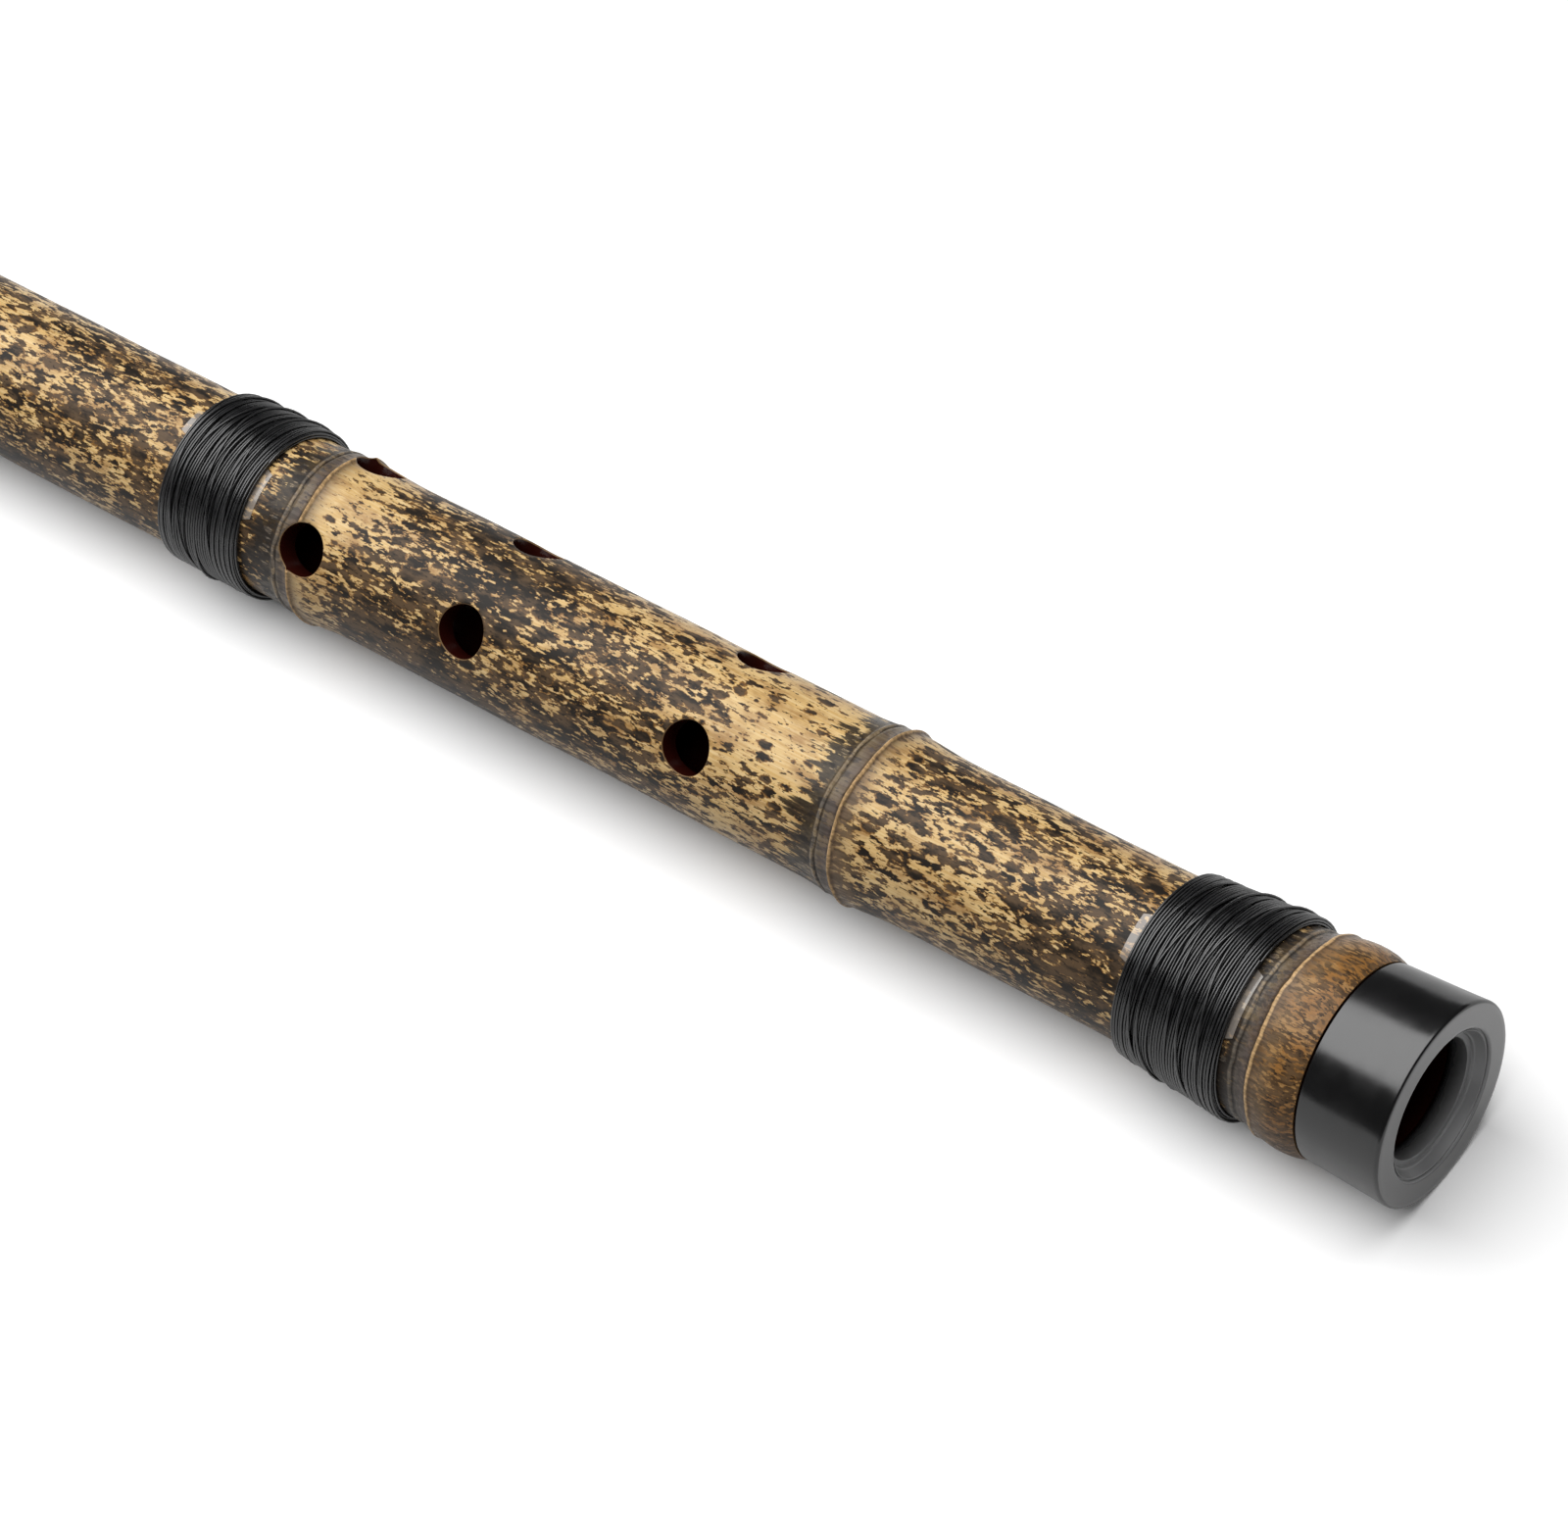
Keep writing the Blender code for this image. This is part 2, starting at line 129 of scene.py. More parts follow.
class BindingSizes(bpy.types.PropertyGroup):
    """Sizes of the wound bindings."""

    thread: a_length("Thread radius", "Radius of the waxed thread", 0.0002)
    packing: a_length("Packing", "Least distance between neighbouring turns", 0.00041)
    points: bpy.props.IntProperty(
        name="Points a turn", description="Points of the thread in one turn", default=64, min=24)
    slant: a_length("Slant", "How far the middle turns lean along the flute", 0.0009)
    film: a_length("Film thickness", "Thickness of the clear film", 0.00006)
    core: a_length("Core thickness", "Height of the hidden inner layers", 0.00012)


class Finish(bpy.types.PropertyGroup):
    """Colours of the four finishes."""

    straw: a_colour("Straw", "Unmarked bamboo", 0.52, 0.335, 0.128)
    pale: a_colour("Pale straw", "Palest bamboo", 0.62, 0.46, 0.235)
    rim: a_colour("Spot rim", "Warm edge of a spot", 0.20, 0.098, 0.030)
    dark: a_colour("Spot core", "Dark middle of a spot", 0.0105, 0.0070, 0.0042)
    grey: a_colour("Grey brown", "Weathered brown between the spots", 0.088, 0.054, 0.028)
    root: a_colour("Root", "Orange brown of the root end", 0.27, 0.125, 0.034)
    ridge: a_colour("Ridge", "Thin tan line of a node's ridge", 0.42, 0.27, 0.13)
    wall: a_colour("Wall", "Bare bamboo at the rim of a hole", 0.17, 0.10, 0.045)
    lining: a_colour("Lining", "Dark red lacquer of the bore", 0.020, 0.0030, 0.0020)
    horn: a_colour("Horn", "Polished black horn", 0.0025, 0.0025, 0.0027)
    machined: a_colour("Machined horn", "Horn left dull by the lathe", 0.20, 0.20, 0.203)
    thread: a_colour("Thread", "Waxed black thread", 0.0050, 0.0050, 0.0056)
    # The film's pale grey is a painted reflection: the softbox's glare on the film
    film: a_colour("Film", "Clear film over the bamboo", 0.48, 0.43, 0.38)


class StudioSizes(bpy.types.PropertyGroup):
    """The lamp, the floor, the surroundings and the camera."""

    lamp_power: a_number("Lamp power", "Power of the overhead softbox", 20.0, unit="POWER")
    lamp_place: a_length("Lamp place", "Middle of the softbox", (-0.15, -0.07, 0.85), size=3)
    lamp_size: a_length("Lamp size", "Length and width of the softbox", (1.7, 1.05), size=2)
    floor_size: a_length("Floor size", "Side of the floor", 8.0)
    floor_white: a_number(
        "Floor white", "How much light the floor adds to what the camera sees", 0.07,
        subtype="FACTOR")
    surroundings: a_number(
        "Surroundings", "Strength of the even light from all round", 0.07, subtype="FACTOR")
    camera_way: a_number(
        "Camera direction", "Direction from the flute to the camera", (0.485, -0.424, 0.765),
        size=3, subtype="DIRECTION")
    camera_target: a_length("Camera target", "Station on the flute that the camera looks at", 0.640)
    camera_distance: a_length("Camera distance", "From the target to the camera", 0.8)
    camera_roll: an_angle("Camera roll", "Turn of the camera about its own line of sight", -14.0)
    camera_lens: a_number("Lens", "Focal length in mm", 130.0, unit="CAMERA")


def settings(context):
    """The four groups of settings: stem, binding, finish and studio."""
    return [getattr(context.scene, name) for name in GROUPS]


# Shape of the stem, as tables of (station, radius) in mm

GRID_STEP = 0.00005
GRID = np.arange(0.0, FLUTE_LENGTH + GRID_STEP, GRID_STEP)
PLAIN = ((13.5, 12.3), (640.0, 12.5), (700.0, 12.5), (706.0, 12.56), (712.0, 12.92), (718.0, 13.38),
         (723.0, 13.80), (726.2, 14.10), (738.0, 14.6), (752.0, 14.6))
FOOT_FORM = ((725.0, 13.97), (726.3, 14.16), (726.9, 14.22), (727.3, 13.94), (727.7, 14.05),
             (728.6, 14.42), (729.35, 14.70), (729.75, 14.95), (730.0, 15.10), (730.25, 15.02),
             (730.6, 14.94), (731.4, 15.06), (732.4, 15.22), (733.6, 15.31), (734.8, 15.28),
             (735.9, 15.14), (736.8, 14.90), (737.4, 14.68), (737.7, 14.56))
FOOT_FORM_START, FOOT_FORM_BLEND = 724.8, 1.2
PLAIN_SOFTENING, FOOT_SOFTENING = 0.008, 0.00035
# Small lumps: length along the flute in metres, turns round it, phase and height in mm
WAVES = tuple((0.020 + 0.011 * (k * 7 % 5), k % 5, 1.7 * k, 0.010 + 0.006 * (k * 3 % 4))
              for k in range(9))
WAVES_START, WAVES_END, WAVES_FADE = 0.016, 0.737, 0.010
# How far along the flute a ridge's lean dies away, at the foot node and at the others
FOOT_LEAN_REACH, LEAN_REACH = 0.007, 0.011


def softened(values, width):
    """A table smoothed by a window this wide, in metres."""
    count = max(int(width / (GRID[1] - GRID[0])) | 1, 3)
    window = np.hanning(count + 2)[1:-1]
    padded = np.pad(values, count // 2, mode="edge")
    return np.convolve(padded, window / window.sum(), mode="valid")


def node_rise(offset):
    """Height of an inner node over the plain stem, in mm, at offsets in mm from its ridge."""
    reach = np.where(offset < 0, 8.0, 9.0)
    swell = 0.45 * np.cos(np.clip(offset / reach, -1, 1) * math.pi / 2) ** 2
    ridge = 0.45 * np.exp(-(offset / 0.34) ** 2)
    lip = 0.12 * np.exp(-((offset + 3.15) / 0.22) ** 2)
    groove = -0.20 * np.exp(-((offset + 2.75) / 0.25) ** 2)
    band = -0.12 * np.exp(-((offset + 1.4) / 0.8) ** 2)
    return swell + ridge + lip + groove + band


def stem_table(nodes):
    """Outer radius of the stem at every station of the grid."""
    grid = GRID / MM
    radius = softened(np.interp(grid, *zip(*PLAIN)), PLAIN_SOFTENING)
    for ridge in nodes[1:]:
        radius += node_rise(grid - ridge / MM)
    foot = softened(np.interp(grid, *zip(*FOOT_FORM)), FOOT_SOFTENING)
    share = np.clip((grid - FOOT_FORM_START) / FOOT_FORM_BLEND, 0, 1)
    return (radius * (1 - share) + foot * share) * MM


def unevenness(station, angle):
    """Small lumps of a natural stem, fading out under the caps."""
    total = np.zeros(np.broadcast(station, angle).shape)
    for length, turns, phase, height in WAVES:
        total += height * np.sin(2 * math.pi * station / length + turns * angle + phase)
    fade = np.clip((station - WAVES_START) / WAVES_FADE, 0, 1)
    fade = fade * np.clip((WAVES_END - station) / WAVES_FADE, 0, 1)
    return total * fade * MM


class Stem:
    """The stem's outside as a function of station and angle."""

    def __init__(self, sizes):
        self.nodes = list(sizes.nodes)
        self.tilts = list(sizes.tilts)
        self.table = stem_table(self.nodes)

    def shift(self, station, angle):
        """How far the ridges lean at these stations and angles."""
        total = np.zeros(np.broadcast(station, angle).shape)
        for number, (ridge, tilt) in enumerate(zip(self.nodes, self.tilts)):
            reach = FOOT_LEAN_REACH if number == 0 else LEAN_REACH
            near = np.clip(1 - np.abs(station - ridge) / reach, 0, 1)
            wave = 0.00016 * np.sin(3 * angle + number) + 0.00010 * np.sin(7 * angle + 2 * number)
            total += (wave - tilt * np.sin(angle)) * near * near * (3 - 2 * near)
        return total

    def radius(self, station, angle):
        """Outer radius at these stations and angles."""
        plain = np.interp(station - self.shift(station, angle), GRID, self.table)
        return np.minimum(plain + unevenness(station, angle), LARGEST_RADIUS)

    def from_ridge(self, station, angle, middle):
        """Signed distance in mm, towards the foot, to the ridge that is nearest to each middle."""
        nodes = np.array(self.nodes)
        nearest = np.abs(middle[:, None] - nodes).argmin(1)
        return (station - self.shift(station, angle) - nodes[nearest]) / MM


def polar(points):
    """Station, angle from the top and radius of points in the row frame."""
    height = points[:, 2] - AXIS_HEIGHT
    return points[:, 0] - HEAD_X, np.arctan2(points[:, 1], height), np.hypot(points[:, 1], height)


def spatial(station, angle, radius):
    """Points in the row frame from station, angle and radius."""
    across, height = radius * np.sin(angle), AXIS_HEIGHT + radius * np.cos(angle)
    return np.stack([station + HEAD_X, across, height], -1)


def column(items, field, width=1, kind=int):
    """One field of every vertex, corner or face of a mesh."""
    values = np.zeros(len(items) * width, kind)
    items.foreach_get(field, values)
    return values


def read_points(piece):
    """The vertex places of a piece as an array."""
    return column(piece.data.vertices, "co", 3, float).reshape(-1, 3)


def write_points(piece, points):
    """Set the vertex places of a piece."""
    piece.data.vertices.foreach_set("co", points.ravel())
    piece.data.update()


def write_value(piece, name, values, domain="POINT"):
    """Keep one number at each vertex or face corner of a piece for its material to read."""
    attribute = piece.data.attributes.new(name, "FLOAT", domain)
    attribute.data.foreach_set("value", values.astype(np.float32))


# Modelling


def select_only(piece):
    """Make this the only selected object."""
    bpy.ops.object.select_all(action="DESELECT")
    piece.select_set(True)
    bpy.context.view_layer.objects.active = piece


def edit_all(piece):
    """Start to edit a piece, with all of it selected."""
    select_only(piece)
    bpy.ops.object.mode_set(mode="EDIT")
    bpy.ops.mesh.select_all(action="SELECT")


def mend(merge=0.0):
    """Join points that are nearer than the merge, turn the faces outwards and stop editing."""
    if merge:
        bpy.ops.mesh.select_all(action="SELECT")
        bpy.ops.mesh.remove_doubles(threshold=merge)
        bpy.ops.mesh.delete_loose(use_verts=True, use_edges=True, use_faces=False)
        bpy.ops.mesh.select_all(action="SELECT")
    bpy.ops.mesh.normals_make_consistent(inside=False)
    bpy.ops.object.mode_set(mode="OBJECT")


def turned(name, outline, segments):
    """Turn an outline of (station, radius) points about the flute's axis into a closed solid."""
    bpy.ops.mesh.primitive_circle_add(vertices=len(outline), radius=0.01, fill_type="NOTHING")
    piece = bpy.context.object
    piece.name = piece.data.name = name
    station, radius = np.array(outline).T
    write_points(piece, spatial(station, np.zeros(len(outline)), radius))
    edit_all(piece)
    bpy.ops.mesh.spin(
        steps=segments, angle=2 * math.pi, center=(0.0, 0.0, AXIS_HEIGHT), axis=(1.0, 0.0, 0.0))
    mend(2e-6)
    return piece


def finish_piece(piece, degrees, material, slot, *nodes):
    """Shade a closed piece up to edges of some degrees and let it stand for its CAD nodes."""
    select_only(piece)
    bpy.ops.object.shade_smooth_by_angle(angle=math.radians(degrees))
    edges = column(piece.data.loops, "edge_index")
    if (np.bincount(edges, minlength=len(piece.data.edges)) != 2).any():
        raise RuntimeError(f"{piece.name} is not closed")
    piece.data.materials.clear()
    piece.data.materials.append(material)
    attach(piece, "root")
    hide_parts(*nodes)


# Rings of a hole's cutter from outside in: how far each grows past the hole and rises over the
# stem's surface, in mm. From the last one the cutter goes straight down to its floor.
RIM = ((0.55, 1.2), (0.34, 0.05), (0.20, -0.015), (0.10, -0.06), (0.035, -0.14), (0.0, -0.27))
CUTTER_SIDES = 48
CUTTER_FLOOR = 0.003


def round_tool(name, centre, turn, radius, stem):
    """A round cutter whose upper rings follow the stem, for a hole with a softened rim."""
    bpy.ops.mesh.primitive_circle_add(vertices=CUTTER_SIDES, radius=radius, fill_type="NGON")
    tool = bpy.context.object
    tool.name = name
    edit_all(tool)
    for _ in RIM:
        bpy.ops.mesh.extrude_region_move(TRANSFORM_OT_translate={"value": (0.0, 0.0, -MM)})
    bpy.ops.object.mode_set(mode="OBJECT")
    points = read_points(tool)
    level = np.round(points[:, 2] / -MM).astype(int)
    way = np.arctan2(points[:, 1], points[:, 0])
    for number in range(len(RIM) + 1):
        ring = level == number
        grow, rise = RIM[min(number, len(RIM) - 1)]
        across = (radius + grow * MM) * np.sin(way[ring])
        along = centre + (radius + grow * MM) * np.cos(way[ring])
        height = np.full(across.shape, CUTTER_FLOOR)
        if number < len(RIM):
            surface = stem.radius(along, turn + np.arcsin(across / PLAIN_RADIUS))
            height = np.sqrt(surface ** 2 - across ** 2) + rise * MM
        points[ring, 0] = along + HEAD_X
        points[ring, 1] = height * math.sin(turn) + across * math.cos(turn)
        points[ring, 2] = AXIS_HEIGHT + height * math.cos(turn) - across * math.sin(turn)
    write_points(tool, points)
    edit_all(tool)
    mend()
    return tool


def cut(piece, tools):
    """Cut a piece with its tools and remove them."""
    shelf = bpy.data.collections.new("tools")
    for tool in tools:
        shelf.objects.link(tool)
    select_only(piece)
    boolean = piece.modifiers.new("Cut", "BOOLEAN")
    boolean.operation = "DIFFERENCE"
    boolean.operand_type = "COLLECTION"
    boolean.collection = shelf
    boolean.solver = "MANIFOLD"
    bpy.ops.object.modifier_apply(modifier=boolean.name)
    for tool in tools:
        bpy.data.objects.remove(tool)
    bpy.data.collections.remove(shelf)


def hole_list(sizes):
    """Name, station, angle and radius of every hole in the stem."""
    kinds = {"finger": (math.pi, sizes.hole), "thumb": (0.0, sizes.thumb),
             "near": (-sizes.vent_turn, sizes.vent), "far": (sizes.vent_turn, sizes.vent)}
    return [(name, (low[0] + high[0]) / 2 - HEAD_X, *kinds[kind])
            for name, (low, high) in OPENINGS.items() for kind in kinds if kind in name]


# Distance between the stem's rings, and where each distance applies
PLAIN_STEP, NODE_STEP, RIDGE_STEP, HOLE_STEP, ROOT_STEP = 0.0045, 0.0008, 0.0002, 0.0009, 0.00035
NODE_REACH, RIDGE_START, RIDGE_END = 0.009, -0.0042, 0.0012
HOLE_MARGIN, ROOT_RINGS_START = 0.001, 0.726
BORE_RINGS = 90


def stem_stations(sizes, holes):
    """Stations of the stem's rings: close together at the nodes and the holes."""
    start, end = HEAD_CAP_SPAN[1] + GLUE_GAP, FOOT_CAP_SPAN[0] - GLUE_GAP
    stations = [start]
    while stations[-1] < end - 0.0001:
        here = stations[-1]
        step = PLAIN_STEP
        for ridge in sizes.nodes:
            offset = here - ridge
            if RIDGE_START < offset < RIDGE_END:
                step = min(step, RIDGE_STEP)
            elif -NODE_REACH < offset < NODE_REACH:
                step = min(step, NODE_STEP)
            elif offset < 0:
                step = min(step, max(-NODE_REACH - offset, NODE_STEP))
        for _, station, _, radius in holes:
            if abs(here - station) < radius + HOLE_MARGIN:
                step = min(step, HOLE_STEP)
            elif here < station:
                step = min(step, max(station - radius - HOLE_MARGIN - here, HOLE_STEP))
        if here > ROOT_RINGS_START:
            step = min(step, ROOT_STEP)
        stations.append(min(here + step, end))
    return stations


# How densely the bamboo is marked, from 0 to 1, by station in mm
DENSITY = ((0, 0.55), (120, 0.60), (240, 0.52), (330, 0.62), (420, 0.52), (500, 0.55),
           (528, 0.54), (548, 0.48), (555, 0.40), (557, 0.14), (562, 0.30), (568, 0.60),
           (590, 0.66), (604, 0.58), (615, 0.52), (632, 0.40), (652, 0.27), (664, 0.42),
           (680, 0.50), (706, 0.54), (752, 0.52))
ROOT_START, ROOT_FADE = 0.7275, 0.003


def mottle(station, angle):
    """How densely the bamboo is marked, from 0 to 1, by station and angle."""
    along = np.interp(station / MM, *zip(*DENSITY))
    side = 0.16 * np.clip(np.sin(-angle - 0.35), 0, 1)
    waves = 0.05 * np.sin(2 * math.pi * station / 0.083 + 2 * angle) + 0.04 * np.sin(
        2 * math.pi * station / 0.039 - angle + 1.0)
    return np.clip(along + side + waves, 0.05, 0.95)


def write_marks(piece, stem):
    """Keep what the bamboo's marks depend on at a piece's vertices and face corners."""
    station, angle, radius = polar(read_points(piece))
    vertices = column(piece.data.loops, "vertex_index")
    totals = column(piece.data.polygons, "loop_total")
    faces = np.repeat(np.arange(len(totals)), totals)
    middle = np.bincount(faces, station[vertices]) / totals
    away = stem.from_ridge(station[vertices], angle[vertices], middle[faces])
    write_value(piece, "from_ridge", away, "CORNER")
    write_value(piece, "depth", (stem.radius(station, angle) - radius) / MM)
    write_value(piece, "mottle", mottle(station, angle))
    write_value(piece, "root", np.clip((station - ROOT_START) / ROOT_FADE, 0, 1))


def make_stem(sizes, material):
    """The bamboo: nodes, root flare, bore, tenons and every hole."""
    stem = Stem(sizes)
    holes = hole_list(sizes)
    stations = stem_stations(sizes, holes)
    head_tenon, foot_tenon = HEAD_CAP_SPAN[1] - HEAD_TENON, FLUTE_LENGTH - FOOT_TENON
    outline = [(head_tenon, sizes.bore), (head_tenon, sizes.tenon), (stations[0], sizes.tenon)]
    outline += [(station, float(np.interp(station, GRID, stem.table))) for station in stations]
    outline += [(stations[-1], sizes.tenon), (foot_tenon, sizes.tenon), (foot_tenon, sizes.bore)]
    bore = np.linspace(foot_tenon, head_tenon, BORE_RINGS)[1:-1]
    outline += [(station, sizes.bore) for station in bore]
    piece = turned("bamboo_stem", outline, sizes.segments)
    points = read_points(piece)
    station, angle, radius = polar(points)
    outer = radius > sizes.tenon + GLUE_GAP
    outer &= (station > stations[0] - 1e-6) & (station < stations[-1] + 1e-6)
    moved = station + stem.shift(station, angle)
    points[outer] = spatial(moved[outer], angle[outer], stem.radius(moved[outer], angle[outer]))
    write_points(piece, points)
    cut(piece, [round_tool(name, place, turn, size, stem) for name, place, turn, size in holes])
    write_marks(piece, stem)
    finish_piece(piece, 40, material, "mottled_bamboo", "bamboo_tube")


def in_metres(table, start, way=1):
    """Outline points from a table in mm, counted from a station towards the foot or back."""
    return [(start + way * along * MM, radius * MM) for along, radius in table]


# Outline of the foot ring, in mm: its inner end, counted from there, and its outer end and
# stepped mouth, counted back from the flute's end
RING_BACK = ((0.0, 14.45), (0.12, 14.57), (0.6, 14.62))
RING_FRONT = (
    (0.7, 15.23), (0.4, 15.22), (0.18, 15.14), (0.05, 15.0), (0.0, 14.8), (0.0, 14.3),
    (0.0, 13.7), (0.0, 13.0), (0.0, 12.3), (0.0, 11.7), (0.0, 11.43), (0.06, 11.29),
    (0.2, 11.17), (0.42, 11.13), (0.47, 10.95), (0.3, 10.89), (0.35, 10.75), (1.5, 10.185),
    (1.62, 10.085), (1.7, 9.925), (2.0, 9.765), (2.05, 9.12))
MOUTH_RADIUS, MOUTH_DEPTH = 0.01135, 0.0022
# Outline of the blowing cap's end, in mm, and the thickness of the disc that closes it
CAP_FRONT = ((0.0, 0.0), (0.0, 4.0), (0.0, 8.0), (0.0, 11.0), (0.0, 13.43), (0.08, 13.7),
             (0.3, 13.85), (0.7, 13.88))
CAP_RADIUS, CAP_TAPER, DISC = 0.01388, 0.0009, 0.003


def make_foot_ring(sizes, material):
    """The horn ring on the foot: slight flare, softened edges and a stepped, countersunk mouth."""
    start, end = FOOT_CAP_SPAN
    socket = sizes.tenon + GLUE_GAP
    outline = [(start, socket)] + in_metres(RING_BACK, start)
    for share in (0.2, 0.4, 0.6, 0.8):
        outline.append((start + (end - start) * share, 0.01462 + 0.00062 * share ** 1.2))
    outline += in_metres(RING_FRONT, end, -1)
    outline += [(end - 0.00215, sizes.bore), (end - FOOT_SOCKET, sizes.bore),
                (end - FOOT_SOCKET, socket)]
    piece = turned("foot_ring", outline, sizes.segments)
    station, _, radius = polar(read_points(piece))
    in_mouth = radius < MOUTH_RADIUS
    write_value(piece, "machined", (station > end - MOUTH_DEPTH) & in_mouth)
    write_value(piece, "faced", (station > end - 1e-5) & ~in_mouth)
    finish_piece(piece, 30, material, "black_horn", "foot_cap")


NOTCH_MIDDLE = 0.0024


def notch_tool():
    """A tapered tool with a round end, open towards the blowing end."""
    bpy.ops.mesh.primitive_cone_add(
        vertices=64, radius1=0.0065, radius2=0.00317, depth=0.0109, end_fill_type="NGON",
        location=(HEAD_X + NOTCH_MIDDLE, 0.0, AXIS_HEIGHT - 0.01145))
    tool = bpy.context.object
    tool.name = "notch_tool"
    bpy.ops.object.transform_apply(location=True, rotation=True, scale=True)
    points = read_points(tool)
    back = points[:, 0] < HEAD_X + NOTCH_MIDDLE - 1e-6
    points[back, 0] -= 0.0075
    write_points(tool, points)
    return tool


def make_blowing_cap(sizes, material):
    """The horn cap on the blowing end, closed by a disc and opened by the notch."""
    start, end = HEAD_CAP_SPAN
    socket = sizes.tenon + GLUE_GAP
    outline = in_metres(CAP_FRONT, 0.0)
    for share in (0.25, 0.5, 0.75):
        outline.append((start + (end - start) * share, CAP_RADIUS - CAP_TAPER * share))
    outline += [(end - 0.0003, 0.013), (end, 0.01288), (end, socket), (end - HEAD_SOCKET, socket),
                (end - HEAD_SOCKET, sizes.bore), (DISC, sizes.bore), (DISC, 0.004), (DISC, 0.0)]
    piece = turned("blowing_cap", outline, sizes.segments)
    cut(piece, [notch_tool()])
    station, _, radius = polar(read_points(piece))
    write_value(piece, "faced", (station < 1e-5) & (radius < CAP_RADIUS - 0.0003))
    finish_piece(piece, 30, material, "black_horn", "head_cap")


# Bindings


# Radius at which a ring is turned, before it is moved on to the stem
PARKING_RADIUS = 0.0140
RING_EDGE = 0.00002
FILM_LIFT, CORE_LIFT = 0.00003, 0.00004
FILM_RINGS, CORE_RINGS, CORE_SEGMENTS = 56, 14, 72
# How far the film's end is drawn in, and how far its edge and the core's lie under the thread
FILM_DRAWN_IN, FILM_HIDDEN, CORE_INSET = 0.0005, 0.001, 0.0004
# Angles in degrees between which the film shows past the thread, at its two edges
# At the foot and the vent the arcs lie under the softbox's glare: the film's grey paints it
FILM_SHOWN = {"foot": ((-38, -4), (-50, -8)), "vent": ((-12, 8), (-46, -10))}
FILM_SHOWN_ELSEWHERE = ((-60, 20), (-46, 60))
# Passes of the thread: from and to which share of the width, lean, and extra space
PASSES = ((0.0, 1.0, 1.0, 0.0), (1.0, 0.0, -1.0, 0.0), (0.0, 1.0, 0.5, 0.08))
# Crossing turns: share of all turns, middle and reach in degrees, and how far they swing back
CROSSINGS = ((0.745, -20, 80, 0.0018), (0.80, -50, 85, 0.0022), (0.855, 10, 85, 0.0020),
             (0.91, -30, 75, 0.0019), (0.955, 5, 85, 0.0023), (0.83, 170, 85, 0.0020),
             (0.93, 140, 85, 0.0019))
# Extra space between leaning turns, and how much of its height a turn keeps on top of others
LEAN_SPACE, NESTING = 0.17, 0.93


def ring_between(name, span, low, high, stem, segments, rings):
    """A thin ring that follows the stem between two stations, at two rises above it."""
    start, end = span
    under, over = PARKING_RADIUS + low, PARKING_RADIUS + high
    outline = [(station, under) for station in np.linspace(end, start, rings)]
    outline += [(start, over - RING_EDGE), (start + RING_EDGE, over)]
    outline += [(station, over) for station in np.linspace(start, end, rings)[1:-1]]
    outline += [(end - RING_EDGE, over), (end, over - RING_EDGE)]
    piece = turned(name, outline, segments)
    station, angle, radius = polar(read_points(piece))
    radius = stem.radius(station, angle) + radius - PARKING_RADIUS
    write_points(piece, spatial(station, angle, radius))
    return piece


def trim_film(film, span, hidden, shown, stem):
    """Draw each edge of the film in under the thread, but for the angles at which it shows."""
    station, angle, radius = polar(read_points(film))
    rise = radius - stem.radius(station, angle)
    middle = sum(span) / 2
    for edge, under, (low, high) in zip(span, hidden, shown):
        half = (station - middle) * (edge - middle) > 0
        away = half & ((angle < math.radians(low)) | (angle > math.radians(high)))
        station[away] = middle + (station[away] - middle) * (under - middle) / (edge - middle)
    write_points(film, spatial(station, angle, stem.radius(station, angle) + rise))


def thread_plan(span, sizes):
    """Middle station and lean of the thread at every point, pass by pass."""
    start, end = span[0] + sizes.thread, span[1] - sizes.thread
    stations, leans = [], []
    for begin, finish, lean, extra in PASSES:
        here = start + (end - start) * begin
        goal = start + (end - start) * finish
        way = 1 if goal > here else -1
        pitch = way * sizes.packing * (1.0 + LEAN_SPACE * abs(lean) + extra)
        while (goal - here) * way > 0:
            share = min(max((here - start) / (end - start), 0.0), 1.0)
            stations.append(here)
            leans.append(lean * sizes.slant * math.sin(math.pi * share))
            here += pitch / sizes.points
    return np.array(stations), np.array(leans)


def crossings(steps, points, count, phase):
    """How far the thread swings back, in a few of its last turns, across turns laid before it."""
    total = np.zeros(count)
    for part, way, reach, size in CROSSINGS:
        centre = (round(count / points * part) + (way + 23.0 * math.sin(phase)) / 360.0) * points
        near = np.clip(np.abs(steps - centre) / (reach / 360.0 * points), 0, 1)
        total += size * np.cos(near * math.pi / 2) ** 2
    return total


